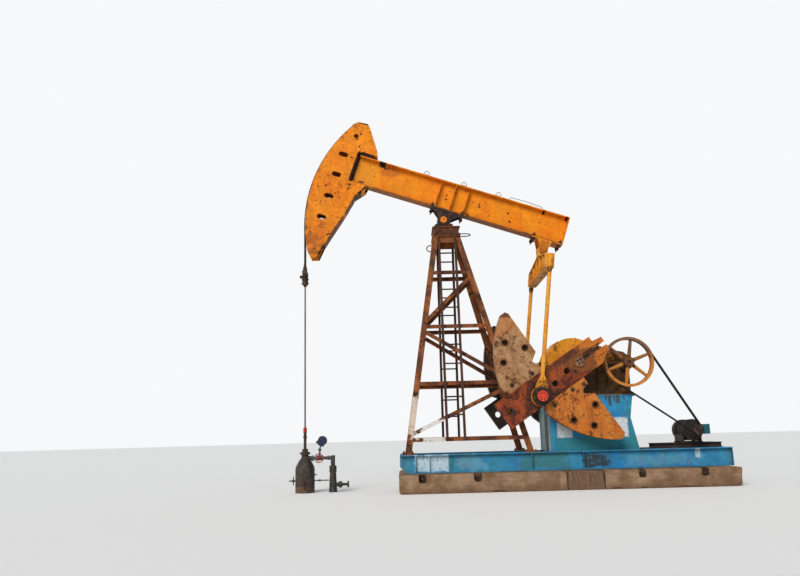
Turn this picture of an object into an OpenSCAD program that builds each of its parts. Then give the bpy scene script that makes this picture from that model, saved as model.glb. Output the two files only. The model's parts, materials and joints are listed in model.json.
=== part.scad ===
// Beam pumping unit with its wellhead, at rest with the horsehead raised.
// X runs from the well to the motor, Y away from the belt side, Z up.
// The origin is on the foundation's underside, under the saddle bearing's axis.

/* [Foundation and skid] */
// Width of the concrete blocks across the skid
block_w = 2400; // [2200:20:2800]
// Height of the concrete blocks
block_h = 360; // [250:10:450]
// Place of the concrete's front end along X
block_left = -1110; // [-1150:10:-1080]
// Length of the block under the post
block_post_len = 3220; // [3050:10:3400]
// Length of the timber packing between the blocks
packing_len = 720; // [600:10:900]
// Length of the block under the motor
block_motor_len = 2640; // [2500:10:2800]
// Width of the lifting pockets in the blocks
pocket_w = 130; // [80:5:160]
// Height of the lifting pockets
pocket_h = 150; // [100:5:200]
// Depth of the skid beams
skid_h = 360; // [300:10:400]
// Width of the skid beams' flanges
skid_flange_w = 180; // [150:5:190]
// Thickness of the skid beams' flanges
skid_flange_t = 20; // [12:1:28]
// Thickness of the skid beams' webs
skid_web_t = 14; // [8:1:20]
// Half the distance between the two skid beams' webs
skid_y = 680; // [660:5:690]
// Length of the skid beams
skid_len = 6590; // [6400:10:6700]

/* [Samson post] */
// Height of the saddle bearing's axis above ground
saddle_z = 5690; // [5600:10:5800]
// Width of an angle leg
leg_w = 120; // [100:5:130]
// Thickness of an angle leg
leg_t = 14; // [10:1:18]
// Distance that the front legs stand forward of the saddle at the skid
front_spread = 908; // [850:2:940]
// Distance that the rear legs stand back of the saddle at the skid
rear_spread = 1530; // [1450:2:1560]
// Distance from the saddle forward to the front legs at the top
front_top = 190; // [180:5:220]
// Distance from the saddle back to the rear legs at the top
rear_top = 280; // [250:5:300]
// Half the width of the post across the beam at its top
post_top_y = 245; // [230:5:270]
// Width of the braces
brace_w = 80; // [60:5:90]
// Thickness of the braces
brace_t = 10; // [8:1:12]
// Height of the box on top of the post that carries the bearings
head_box_h = 150; // [120:5:170]
// Thickness of the plate on the legs' tops
cap_t = 80; // [40:5:90]
// Distance from the saddle bearing's axis down to the box's top
cap_drop = 150; // [140:1:165]
// Width of a ladder between its rails' middles
ladder_w = 390; // [340:5:410]
// Diameter of the ladder rungs
rung_d = 20; // [14:1:26]

/* [Walking beam] */
// Distance from the saddle bearing to the polished rod's line
front_arm = 3060; // [3000:10:3100]
// Distance from the saddle bearing to the tail bearing, along the beam
rear_arm = 2260; // [2200:10:2300]
// Height of the tail bearing's axis over the saddle's, square to the beam
tail_rise = 60; // [50:1:80]
// Slope of the beam at rest, head up
beam_tilt = 19; // [17:0.5:20]
// Depth of the beam
beam_h = 655; // [600:5:700]
// Width of the beam's flanges
beam_w = 260; // [230:5:265]
// Thickness of the beam's flanges
beam_flange_t = 24; // [16:1:32]
// Thickness of the beam's web
beam_web_t = 16; // [10:1:24]
// Distance from the saddle bearing's axis up to the beam's underside
beam_seat = 292; // [285:1:310]
// Length of the beam behind the saddle bearing
beam_rear = 2630; // [2600:5:2680]
// Length of the beam ahead of the saddle bearing
beam_front = 2226; // [2200:2:2250]

/* [Horsehead] */
// Width of the horsehead over its side plates
head_w = 300; // [294:2:330]
// Thickness of the side plates
head_t = 14; // [10:1:18]
// Thickness of the curved face plate
face_t = 24; // [16:1:30]
// Angle of the face above the beam's line
face_up = 33.5; // [32:0.5:34]
// Angle of the face below the beam's line
face_down = 30.5; // [30:0.5:31]
// Length of the slots in the side plates
slot_len = 190; // [150:5:210]
// Height of the slots in the side plates
slot_h = 96; // [70:2:110]
// Diameter of the bridle ropes
rope_d = 28; // [22:1:34]
// Half the distance between the two ropes
rope_y = 90; // [70:5:110]

/* [Cranks and pitmans] */
// Distance from the saddle bearing back to the slow shaft
shaft_x = 2555; // [2530:5:2620]
// Height of the slow shaft's axis above ground
shaft_z = 2457; // [2440:5:2500]
// Slope of the cranks at rest, free end down
crank_dip = 33.4; // [32:0.2:35]
// Angle between a crank's centre line and its pin holes
pin_phase = 5.7; // [4:0.1:7]
// Distance from the slow shaft to the crank pin in use
crank_r = 1064; // [1040:2:1080]
// Distance from the slow shaft to the shorter stroke's pin hole
short_r = 660; // [640:5:700]
// Distance from the slow shaft to a crank's free end
crank_len = 1890; // [1860:5:1905]
// Distance from the slow shaft to a crank's hub end
hub_len = 460; // [440:5:480]
// Distance from the slow shaft to the ends of the hub's two tongues
tongue_len = 662; // [640:2:680]
// Width of a crank
crank_w = 580; // [560:5:600]
// Thickness of a crank
crank_t = 150; // [130:5:160]
// Distance from the centre plane to a crank's inner face
crank_y = 850; // [845:1:860]
// Thickness of a counterweight
weight_t = 200; // [180:5:205]
// Radius of a counterweight's curved edge
weight_arc = 2044; // [1960:2:2060]
// Height of a counterweight's tip above the crank's centre line
weight_tip = 1660; // [1600:5:1690]
// Distance along the crank to the upper counterweight's straight edge
upper_at = 585; // [560:5:620]
// Distance along the crank to the lower counterweight's straight edge
lower_at = 121; // [100:1:160]
// Diameter of the slow shaft
shaft_d = 200; // [170:5:210]
// Distance from the centre plane to a pitman's axis
pitman_y = 1090; // [1086:1:1096]
// Diameter of a pitman's tube
pitman_d = 84; // [70:2:88]
// Radius of a crank pin's bearing housing
wrist_r = 185; // [170:5:190]
// Distance from the tail bearing's axis down to the equalizer's underside
yoke_drop = 610; // [580:5:612]
// Half the width of the equalizer's flanges
yoke_half = 95; // [80:5:100]

/* [Reducer and drive] */
// Distance from the slow shaft to the sheave's shaft
reducer_len = 1065; // [1050:5:1080]
// Half the width of the reducer's housing
reducer_y = 420; // [390:5:440]
// Height of the pedestal's top above ground
pedestal_top = 1800; // [1780:5:1820]
// Half the width of the pedestal
pedestal_y = 600; // [590:5:605]
// Diameter of the sheave
sheave_d = 1010; // [960:10:1020]
// Number of the sheave's spokes
spokes = 6; // [5:1:8]
// Diameter of the motor's pulley
pulley_d = 200; // [180:5:240]
// Number of belts
belt_count = 4; // [3:1:4]
// Distance between belts
belt_pitch = 30; // [28:1:31]
// Distance from the saddle bearing back to the motor's axis
motor_x = 4890; // [4860:5:4920]
// Height of the motor's axis above ground
motor_z = 1070; // [1060:5:1090]
// Diameter of the motor's body
motor_d = 430; // [400:10:440]
// Number of cooling fins round the motor
fins = 36; // [24:4:48]

/* [Wellhead] */
// Diameter of the polished rod
rod_d = 36; // [30:1:40]
// Diameter of the casing head's body
casing_d = 400; // [380:5:420]
// Height of the casing head's straight side
casing_side = 480; // [460:10:500]
// Height of the casing head's neck
casing_top = 770; // [760:5:790]
// Diameter of the casing head's neck
neck_d = 150; // [140:5:160]
// Height of the stuffing box's top above ground
gland_top = 1320; // [1290:5:1350]
// Distance from the well to the flow line's riser
riser_x = 580; // [560:5:620]
// Height of the flow line's upper arm above ground
arm_z = 690; // [680:5:700]

/* [Hidden] */
$fn = 64;
eps = 1;

// Clearances
shaft_fit = 0.05;
seat_gap = 0.3;
pin_gap = 6;

// Colours
orange_paint = "darkorange";
blue_paint = "dodgerblue";
rust = "saddlebrown";
iron = "dimgray";
concrete = "tan";

// Heights and places worked out from the sizes above
skid_top = block_h + skid_h;
skid_left = block_left + 30;
skid_right = skid_left + skid_len;
cap_top = saddle_z - cap_drop;
box_base = cap_top - head_box_h;
post_top = box_base - cap_t;
post_base = skid_top;
head_r = front_arm - rope_d / 2 - seat_gap;
brace_levels = [1010, 2130, 3320, 4500];

// Pitman line: from the tail bearing's axis to the crank pin, both at rest
tail_x = rear_arm * cos(beam_tilt) + tail_rise * sin(beam_tilt);
tail_z = saddle_z - rear_arm * sin(beam_tilt) + tail_rise * cos(beam_tilt);
pin_angle = crank_dip + pin_phase;
pin_x = shaft_x - crank_r * cos(pin_angle);
pin_z = shaft_z - crank_r * sin(pin_angle);
pitman_len = norm([tail_x - pin_x, tail_z - pin_z]);
pitman_lean = atan2(tail_x - pin_x, tail_z - pin_z);

// Drive places
input_x = shaft_x + reducer_len;
input_d = 80;
belt_t = 14;
belt_w = 22;
belt_sink = 18;
sheave_y = -710;
sheave_w = belt_count * belt_pitch + 10;
motor_shaft_d = 60;

// A profile drawn in X and Z, made solid from y to y + t
module upright(y, t) {
    translate([0, y + t, 0]) rotate([90, 0, 0]) linear_extrude(t) children();
}

// A profile drawn in Y and Z, made solid from x to x + t
module crosswise(x, t) {
    translate([x, 0, 0]) rotate([90, 0, 90]) linear_extrude(t) children();
}

// A round bar across the machine
module cross_bar(x, z, d, y1, y2) {
    translate([x, y1, z]) rotate([-90, 0, 0]) cylinder(d = d, h = y2 - y1);
}

// A block between two corners
module block(low, high) {
    translate(low) cube(high - low);
}

// A flat bar of thickness t between two points of a plane
module strip(p, q, t) {
    d = (q - p) / norm(q - p);
    n = [-d[1], d[0]] * t / 2;
    polygon([p + n, q + n, q - n, p - n]);
}

// Children drawn once on the near side and once mirrored to the far side
module both_sides() {
    children();
    mirror([0, 1, 0]) children();
}

// Children placed at the well
module at_well() {
    translate([-front_arm, 0, 0]) children();
}

// A profile drawn in X and Y, swept from one point to another without a twist
module sweep(from, to) {
    d = to - from;
    turn = atan2(d[1], d[0]);
    lean = acos(d[2] / norm(d));
    translate(from) rotate([0, 0, turn]) rotate([0, lean, 0]) rotate([0, 0, -turn])
        linear_extrude(norm(d)) children();
}

// Frame of the beam: X towards the tail, Z square to the beam
module on_beam() {
    translate([0, 0, saddle_z]) rotate([0, beam_tilt, 0]) children();
}

// Frame of the cranks: X from the shaft to the free end, Z to the lower side
module on_crank() {
    translate([shaft_x, 0, shaft_z]) rotate([0, 180 - crank_dip, 0]) children();
}

// Frame of the pitmans: origin at the tail bearing, the crank pin straight down
module on_pitman() {
    translate([tail_x, 0, tail_z]) rotate([0, pitman_lean, 0]) children();
}

// An I section, flange width b and depth h
module i_section(b, h, flange, web) {
    square([b, flange]);
    translate([0, h - flange]) square([b, flange]);
    translate([(b - web) / 2, 0]) square([web, h]);
}

// An I beam along X
module i_beam(x1, x2, y, z, b, h, flange, web) {
    translate([x1, y - b / 2, z]) rotate([90, 0, 90]) linear_extrude(x2 - x1)
        i_section(b, h, flange, web);
}

// An angle section with its corner at the origin, arms towards +X and +Y
module angle_section(a, t) {
    square([a, t]);
    square([t, a]);
}

// Foundation

module foundation_block(left, len, pocket_at) {
    difference() {
        block([left, -block_w / 2, 0], [left + len, block_w / 2, block_h]);
        for (at = pocket_at) both_sides()
            block([at, -block_w / 2 - eps, block_h - pocket_h],
                [at + pocket_w, -block_w / 2 + pocket_w, block_h + eps]);
    }
}

motor_block_left = block_left + block_post_len + packing_len;

module foundation_blocks() color(concrete) {
    foundation_block(block_left, block_post_len, [block_left + 390, block_left + 1454]);
    foundation_block(motor_block_left, block_motor_len,
        [motor_block_left + 660, motor_block_left + 1860]);
}

module timber_packing() color("sienna") {
    count = 3;
    joint = 6;
    left = block_left + block_post_len + joint;
    plank = (packing_len - (count + 1) * joint) / count;
    for (i = [0:count - 1])
        block([left + i * (plank + joint), -block_w / 2 + 20, 0],
            [left + i * (plank + joint) + plank, block_w / 2 - 20, block_h]);
}

// Skid

module skid_beam() {
    nose = 130;
    difference() {
        i_beam(skid_left, skid_right, -skid_y, block_h,
            skid_flange_w, skid_h, skid_flange_t, skid_web_t);
        upright(-skid_y - skid_flange_w, 2 * skid_flange_w)
            polygon([[skid_left - eps, block_h - eps], [skid_left + nose, block_h - eps],
                [skid_left - eps, block_h + nose]]);
    }
    // Web stiffeners under the post's legs and at the ends
    for (x = [skid_left + 300, front_spread * -1 + 400, rear_spread, shaft_x, skid_right - 12])
        block([x, -skid_y - skid_flange_w / 2 + 6, block_h + skid_flange_t],
            [x + 12, -skid_y - skid_web_t / 2, skid_top - skid_flange_t]);
}

module skid_beams() color(blue_paint) both_sides() skid_beam();

member_x = [skid_left + 170, shaft_x - 520, shaft_x + 380, input_x + 60, motor_x - 440, skid_right - 60];

module skid_cross_members() color(blue_paint) {
    half = skid_y - skid_flange_w / 2;
    for (x = member_x)
        translate([x - 60, half, block_h]) rotate([90, 0, 0])
            linear_extrude(2 * half) i_section(120, skid_h, 14, 10);
}

// Samson post

function leg_foot(front) = [front ? -front_spread : rear_spread, -skid_y, post_base];
function leg_head(front) = [front ? -front_top : rear_top, -post_top_y, post_top];
function leg_at(front, z) = leg_foot(front)
    + (leg_head(front) - leg_foot(front)) * (z - post_base) / (post_top - post_base);

// A profile swept along a leg's middle line, past both its ends
module along_leg(front) {
    reach = (leg_head(front) - leg_foot(front)) * 0.05;
    sweep(leg_foot(front) - reach, leg_head(front) + reach)
        mirror([front ? 0 : 1, 0]) translate([-leg_w / 2, -leg_w / 2]) children();
}

module leg_bar(front) {
    intersection() {
        along_leg(front) angle_section(leg_w, leg_t);
        block([-front_arm, -2 * skid_y, post_base + 20], [front_arm, 0, post_top]);
    }
}

module leg_shoe(front) {
    foot = leg_foot(front);
    block([foot[0] - 120, -skid_y - skid_flange_w / 2, post_base],
        [foot[0] + 120, -skid_y + skid_flange_w / 2, post_base + 20]);
}

module post_legs() color(rust) both_sides() for (front = [true, false]) {
    leg_bar(front);
    leg_shoe(front);
}

// Everything outside the hollow of a leg's angle, for ending braces on the leg's inner faces
module leg_fillers() {
    for (front = [true, false]) along_leg(front) difference() {
        translate([-300, -300]) square(leg_w + 300 + 20);
        translate([leg_t + seat_gap, leg_t + seat_gap]) square(2 * leg_w);
    }
}

// Half the post's width at the inside of the legs' outer arms, at height z
function side_y(z) = leg_at(true, z)[1] - leg_w / 2 + leg_t + 1;

// An angle brace in the side face, its flat arm outwards
module side_bar(from, to, up) {
    sweep(from, to) mirror([up ? 1 : 0, 0]) translate([-brace_w / 2, 0]) angle_section(brace_w, brace_t);
}

function side_point(front, z) = [leg_at(front, z)[0], side_y(z), z];

module post_side_braces() color(rust) both_sides() difference() {
    union() {
        for (z = brace_levels) {
            a = side_point(true, z);
            b = side_point(false, z);
            translate([a[0], a[1], z]) rotate([90, 0, 90]) linear_extrude(b[0] - a[0])
                mirror([0, 1]) translate([0, -brace_w / 2]) angle_section(brace_w, brace_t);
        }
        for (i = [0:2]) {
            low = brace_levels[i] + 95;
            high = brace_levels[i + 1] - 95;
            rising = i % 2 == 0;
            side_bar(side_point(rising, low), side_point(!rising, high), !rising);
        }
    }
    leg_fillers();
}

module post_cross_braces() color(rust) for (front = [true, false]) {
    flip = front ? 1 : -1;
    difference() {
        union() {
            for (z = brace_levels) {
                p = leg_at(front, z);
                x = p[0] - flip * (leg_w / 2 - leg_t - 1);
                block([min(x, x + flip * brace_t), p[1], z - brace_w / 2],
                    [max(x, x + flip * brace_t), -p[1], z + brace_w / 2]);
            }
            for (i = [0:2]) {
                low = brace_levels[i] + 95;
                high = brace_levels[i + 1] - 95;
                side = i % 2 == 0 ? 1 : -1;
                p = leg_at(front, low);
                q = leg_at(front, high);
                off = -flip * (leg_w / 2 - leg_t - 1 - brace_t / 2);
                sweep([p[0] + off, side * p[1], low], [q[0] + off, -side * q[1], high])
                    translate([-brace_t / 2, -brace_w / 2]) square([brace_t, brace_w]);
            }
        }
        both_sides() leg_fillers();
    }
}

module post_cap() color(rust) {
    edge = leg_w / 2 + 10;
    mid = (rear_top - front_top) / 2;
    block([-front_top - edge, -post_top_y - edge, post_top], [rear_top + edge, post_top_y + edge, box_base]);
    // Box under the bearings: two channels with a top plate
    block([mid - 300, -post_top_y - edge - 20, cap_top - 24], [mid + 300, post_top_y + edge + 20, cap_top]);
    for (x = [mid - 270, mid + 250])
        block([x, -post_top_y - edge, box_base], [x + 20, post_top_y + edge, cap_top - 24]);
    both_sides() block([mid - 250, -post_top_y - edge, box_base], [mid + 250, -post_top_y - edge + 16, cap_top - 24]);
    // Gusset plates between the legs' tops
    gusset_y = side_y(post_top);
    both_sides() block([-front_top + leg_w / 2 - 20, gusset_y, post_top - 130],
        [rear_top - leg_w / 2 + 20, gusset_y + 12, post_top]);
}

// Ladders

rung_levels = [1490, 1850, 2527, 2923, 3713, 4107, 4915];
ladder_out = leg_w / 2 + 70;
ladder_x = 50;

function ladder_y(z) = leg_at(true, z)[1] - ladder_out;

module ladder() {
    foot = 985;
    head = post_top - 40;
    for (side = [-1, 1]) {
        x = ladder_x + side * ladder_w / 2;
        sweep([x, ladder_y(foot), foot], [x, ladder_y(head), head])
            translate([-5, -25]) square([10, 50]);
        // Brackets to the side face's horizontals
        for (z = brace_levels)
            block([x - 4, ladder_y(z) + 10, z - 20], [x + 4, side_y(z) - seat_gap, z + 20]);
    }
    for (z = rung_levels)
        translate([ladder_x - ladder_w / 2, ladder_y(z), z]) rotate([0, 90, 0])
            cylinder(d = rung_d, h = ladder_w);
}

module ladder_near() color("black") ladder();
module ladder_far() color("black") mirror([0, 1, 0]) ladder();

// Saddle

saddle_d = 130;
pillow_in = 150;
pillow_out = 300;

module saddle_pillow_blocks() color(iron) both_sides() difference() {
    union() {
        upright(-pillow_out, pillow_out - pillow_in) translate([0, saddle_z]) {
            circle(r = 140);
            translate([-140, -cap_drop]) square([280, cap_drop]);
        }
        upright(-pillow_out, pillow_out - pillow_in) translate([0, saddle_z - cap_drop])
            polygon([[-200, 0], [200, 0], [200, 40], [140, 60], [-140, 60], [-200, 40]]);
        // Bearing cover round the shaft's end
        cross_bar(0, saddle_z, 220, -pillow_out - 20, -pillow_out);
    }
    cross_bar(0, saddle_z, saddle_d + 2 * shaft_fit, -pillow_out - 20 - eps, -pillow_in + eps);
}

cheek_y = 128;
cheek_t = 30;

module saddle_bracket() color(iron) on_beam() {
    block([-370, -cheek_y, beam_seat - 36], [370, cheek_y, beam_seat]);
    both_sides() upright(-cheek_y, cheek_t) {
        circle(r = 115);
        polygon([[-100, 0], [100, 0], [160, 120], [330, beam_seat - 30], [-330, beam_seat - 30], [-160, 120]]);
    }
    upright(-cheek_y + cheek_t - 2, 2 * (cheek_y - cheek_t) + 4)
        translate([-15, saddle_d / 2 - 15]) square([30, beam_seat - 15 - saddle_d / 2]);
    cross_bar(0, 0, saddle_d, -pillow_out - 45, pillow_out + 45);
}

// Walking beam

rib_at = [-295, 40, 350];

module walking_beam() color(orange_paint) on_beam() {
    i_beam(-beam_front, beam_rear, 0, beam_seat, beam_w, beam_h, beam_flange_t, beam_web_t);
    for (x = rib_at) both_sides()
        block([x - 7, -beam_w / 2 + 4, beam_seat + beam_flange_t],
            [x + 7, -beam_web_t / 2, beam_seat + beam_h - beam_flange_t]);
    // Closing plate on the tail
    block([beam_rear, -beam_w / 2, beam_seat], [beam_rear + 12, beam_w / 2, beam_seat + beam_h]);
}

module beam_rail() color(orange_paint) on_beam() {
    top = beam_seat + beam_h;
    for (x = [-680, 190, 990]) translate([x, 0, top]) rotate([90, 0, 0])
        rotate_extrude(angle = 180, $fn = 48) translate([60, 0]) circle(d = 12, $fn = 16);
    for (x = [1250, 2000]) translate([x, 0, top]) cylinder(d = 16, h = 30);
    translate([1230, 0, top + 38]) rotate([0, 90, 0]) cylinder(d = 18, h = 790);
}

// Horsehead

function head_point(angle, r) = [-r * cos(angle), r * sin(angle)];

notch_front = -beam_front - 60;
notch_top = beam_seat + beam_h + 50;

// Corners of the head behind its face, from the top end round to the bottom end
head_back = [head_point(face_up, head_r), [-2296, 1700], [-2216, 1610], [-1893, 1136], [-1850, 1005],
    [-1850, beam_seat], [-1870, 173], [-2048, -47], [-2130, -468], [-2338, -1290], [-2372, -1594]];

module head_outline() {
    intersection() {
        circle(r = head_r - face_t, $fn = 256);
        polygon(concat([head_point(-face_down, head_r * 1.2), head_point(-10, head_r * 1.2),
            head_point(10, head_r * 1.2), head_point(face_up, head_r * 1.2)], head_back));
    }
}

module slot_cut() {
    for (side = [-1, 1]) translate([side * (slot_len - slot_h) / 2, 0]) circle(d = slot_h);
    square([slot_len - slot_h, slot_h], center = true);
}

module head_plate(y) {
    upright(y, head_t) difference() {
        head_outline();
        translate([notch_front, beam_seat]) square([1000, notch_top - beam_seat]);
        for (z = [843, 349, -182, -689]) translate([-2600, z]) slot_cut();
        translate([-2461, 1343]) circle(r = 50);
    }
}

module horsehead() color(orange_paint) on_beam() {
    inner = head_w / 2 - head_t;
    for (y = [-head_w / 2, inner]) head_plate(y);
    upright(-head_w / 2, head_w) intersection() {
        difference() {
            circle(r = head_r, $fn = 256);
            circle(r = head_r - face_t, $fn = 256);
        }
        polygon([[0, 0], head_point(face_up, 2 * head_r), head_point(0, 3 * head_r),
            head_point(-face_down, 2 * head_r)]);
    }
    // Closing plates along the back, open near the bottom end
    upright(-inner, 2 * inner) {
        for (pair = [[2, 3], [3, 4], [6, 7], [7, 8], [8, 9]]) {
            p = head_back[pair[0]];
            q = head_back[pair[1]];
            n = [q[1] - p[1], p[0] - q[0]] / norm(q - p) * 8;
            strip(p + n, q + n, 12);
        }
    }
    // Seat under the beam's end, lid over it and the stop in front
    block([notch_front, -inner, beam_seat - 30], [-1862, inner, beam_seat]);
    block([notch_front - 20, -inner, beam_seat - 30], [notch_front, inner, notch_top + 20]);
    block([notch_front, -inner, notch_top], [-1862, inner, notch_top + 20]);
    // Cross plates that stiffen the face
    for (z = [1250, 90, -430, -1000])
        block([-head_r + 420 + abs(z) * 0.1, -inner, z - 6], [-2330, inner, z + 6]);
}

module bridle_wrap() color("black") on_beam() {
    for (y = [-rope_y, rope_y]) intersection() {
        translate([0, y, 0]) rotate([90, 0, 0]) rotate_extrude($fn = 256)
            translate([front_arm, 0]) circle(d = rope_d, $fn = 16);
        upright(-head_w, 2 * head_w)
            polygon([[0, 0], head_point(-beam_tilt, 2 * head_r), head_point(5, 3 * head_r),
                head_point(face_up - 3, 2 * head_r)]);
    }
    // Socket block that ends both ropes at the head's top
    upright(-rope_y - 40, 2 * rope_y + 80) rotate(-(face_up - 2)) translate([-front_arm, 0])
        translate([-22, -50]) square([22 + rope_d / 2 - 0.5, 95]);
}

// Tail bearing

tail_d = 100;
lug_in = 150;
lug_out = 185;

module tail_bracket() color(orange_paint) on_beam() translate([rear_arm, 0, tail_rise]) {
    under = beam_seat - tail_rise;
    block([-310, -lug_out, under - 30], [350, lug_out, under]);
    both_sides() {
        upright(-lug_out, lug_out - lug_in) {
            circle(r = 90);
            polygon([[-90, 0], [90, 0], [150, under - 30], [-190, under - 30]]);
        }
        cross_bar(0, 0, 150, -lug_out - 14, -lug_out);
    }
    cross_bar(0, 0, tail_d, -lug_out - 30, lug_out + 30);
}

// Equalizer and pitmans, drawn in the pitman frame

yoke_end = 1034;
yoke_shoulder = 130;
end_top = -310;
mid_top = -150;

function yoke_top(y) = mid_top + (end_top - mid_top) * (abs(y) - yoke_shoulder) / (yoke_end - yoke_shoulder);

module equalizer() color("goldenrod") on_pitman() difference() {
    union() {
        // Hub on the tail bearing with its neck
        cross_bar(0, 0, 220, -yoke_shoulder, yoke_shoulder);
        block([-yoke_half, -yoke_shoulder, mid_top - 20], [yoke_half, yoke_shoulder, 0]);
        // Web, underside plate and the two sloping top plates
        crosswise(-8, 16) polygon([[-yoke_end, -yoke_drop], [yoke_end, -yoke_drop], [yoke_end, end_top],
            [yoke_shoulder, mid_top], [-yoke_shoulder, mid_top], [-yoke_end, end_top]]);
        block([-yoke_half, -yoke_end, -yoke_drop], [yoke_half, yoke_end, -yoke_drop + 20]);
        for (side = [-1, 1]) crosswise(-yoke_half, 2 * yoke_half)
            polygon([[side * yoke_end, end_top], [side * yoke_shoulder, mid_top],
                [side * yoke_shoulder, mid_top - 20], [side * yoke_end, end_top - 20]]);
        // V ribs between the plates
        for (side = [-1, 1]) crosswise(-yoke_half + 8, 2 * yoke_half - 16) {
            stops = [140, 360, 580, 760, 915];
            for (i = [0:3]) {
                a = stops[i];
                b = stops[i + 1];
                high = i % 2 == 0;
                strip([side * a, high ? yoke_top(a) - 12 : -yoke_drop + 12],
                    [side * b, high ? -yoke_drop + 12 : yoke_top(b) - 12], 14);
            }
        }
        // End blocks that carry the pitmans
        both_sides() block([-yoke_half, -yoke_end, -yoke_drop], [yoke_half, -yoke_end + 120, end_top]);
    }
    cross_bar(0, 0, tail_d + 2 * shaft_fit, -lug_out, lug_out);
}

fork_top = 420;
fork_base = wrist_r + 30;

module pitmans() color("goldenrod") on_pitman() both_sides() {
    sleeve = pitman_d + 22;
    tube_end = -pitman_len + fork_base + 10;
    translate([0, -pitman_y, tube_end]) cylinder(d = pitman_d, h = -tube_end + end_top - 60);
    translate([0, -pitman_y, -yoke_drop - 70]) cylinder(d = sleeve, h = 310);
    // Foot of the sleeve against the equalizer's end block
    block([-40, -pitman_y, -yoke_drop + 60], [40, -yoke_end, -yoke_drop + 200]);
    // Fork that flares down to the bearing housing
    upright(-pitman_y - 30, 60) translate([0, -pitman_len]) difference() {
        polygon([[-pitman_d / 2 + 4, fork_top], [pitman_d / 2 - 4, fork_top], [125, fork_base], [125, 120],
            [-125, 120], [-125, fork_base]]);
        circle(r = wrist_r + seat_gap);
    }
}

wrist_in = crank_y + crank_t + pin_gap;
wrist_out = wrist_in + 160;

module wrist_bearings() color(iron) on_pitman() both_sides() translate([0, 0, -pitman_len]) {
    cross_bar(0, 0, 2 * wrist_r, -wrist_out, -wrist_in);
    cross_bar(0, 0, 290, -wrist_out - 18, -wrist_out);
    cross_bar(0, 0, 210, -wrist_out - 130, -wrist_out - 18);
    cross_bar(0, 0, 110, -wrist_out - 160, -wrist_out - 130);
}

// Cranks and counterweights, drawn in the crank frame

module slow_shaft() color(iron) difference() {
    cross_bar(shaft_x, shaft_z, shaft_d, -crank_y - crank_t - 28, crank_y + crank_t + 28);
    both_sides() for (i = [0:3]) translate([shaft_x, 0, shaft_z]) rotate([0, 90 * i + 20, 0])
        cross_bar(48, 0, 40, -crank_y - crank_t - 29, -crank_y - crank_t - 10);
}

module crank_outline() {
    half = crank_w / 2;
    polygon([[crank_len, -half], [crank_len, half], [-380, half], [-510, 190], [-tongue_len + 30, 145],
        [-tongue_len, 90], [-tongue_len, 30], [-hub_len, 30], [-hub_len, -45], [-tongue_len, -50],
        [-tongue_len, -152], [-hub_len, -186], [-hub_len, -half]]);
}

module crank() color("firebrick") on_crank() difference() {
    union() {
        upright(-crank_y - crank_t, crank_t) crank_outline();
        // Row of clamp lugs beside the slot
        for (i = [0:4]) block([-210 - i * 58, -crank_y - crank_t - 14, -78],
            [-180 - i * 58, -crank_y - crank_t, -46]);
    }
    block([-tongue_len - eps, -crank_y - crank_t - eps, -42], [0, -crank_y + eps, 26]);
    cross_bar(0, 0, shaft_d + 2 * shaft_fit, -crank_y - crank_t - 20, -crank_y + eps);
    for (x = [320, 1721]) cross_bar(x, 0, x < 1000 ? 118 : 130, -crank_y - crank_t - 20, -crank_y + eps);
    rotate([0, -pin_phase, 0]) for (r = [short_r, crank_r])
        cross_bar(r, 0, 125, -crank_y - crank_t - 20, -crank_y + eps);
}

module crank_near() crank();
module crank_far() mirror([0, 1, 0]) crank();

weight_y = crank_y + crank_t - weight_t;

// A leaf with a straight edge at zero, a curved one beyond, and a lug at the crank
module weight_outline() {
    edge = crank_w / 2 + seat_gap;
    tip = weight_tip;
    intersection() {
        translate([-968, -51]) circle(r = weight_arc, $fn = 256);
        polygon([[0, edge], [0, 440], [150, 470], [185, 545], [10, 660], [0, tip - 60], [45, tip],
            [300, tip], [1000, tip], [1000, 380], [930, edge]]);
    }
}

weight_holes = [[140, 850], [670, 850], [405, 1160]];

module weight(at, lower) on_crank() translate([at, 0, 0]) {
    mirror([0, 0, lower ? 0 : 1]) {
        upright(-weight_y - weight_t, weight_t) difference() {
            weight_outline();
            for (p = weight_holes) translate(p) circle(d = 116);
        }
    }
}

module weight_near_upper() color("burlywood") weight(upper_at, false);
module weight_near_lower() color(orange_paint) weight(lower_at, true);
module weight_far_upper() color("dimgray") mirror([0, 1, 0]) weight(upper_at, false);
module weight_far_lower() color("dimgray") mirror([0, 1, 0]) weight(lower_at, true);

// Reducer

pedestal_left = shaft_x - 580;
pedestal_right = input_x + 50;

module reducer_pedestal() color(blue_paint) {
    wall = 14;
    waist = 1350;
    difference() {
        upright(-pedestal_y, 2 * pedestal_y)
            polygon([[pedestal_left, skid_top], [pedestal_right + 60, skid_top], [pedestal_right - 70, waist],
                [pedestal_right, pedestal_top - 25], [pedestal_left, pedestal_top - 25]]);
        upright(-pedestal_y + wall, 2 * (pedestal_y - wall))
            polygon([[pedestal_left + wall, skid_top - eps], [pedestal_right + 60 - wall, skid_top - eps],
                [pedestal_right - 70 - wall, waist], [pedestal_right - wall, pedestal_top - 50],
                [pedestal_left + wall, pedestal_top - 50]]);
    }
    block([pedestal_left - 25, -pedestal_y - 12, pedestal_top - 25], [pedestal_right + 50, pedestal_y + 12, pedestal_top]);
}

housing_left = shaft_x - 570;
housing_right = input_x + 90;
split_out = 60;

module reducer_bores() {
    cross_bar(shaft_x, shaft_z, shaft_d + 2 * shaft_fit, -1000, 1000);
    cross_bar(input_x, shaft_z, input_d + 2 * shaft_fit, -1000, 1000);
}

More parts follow.
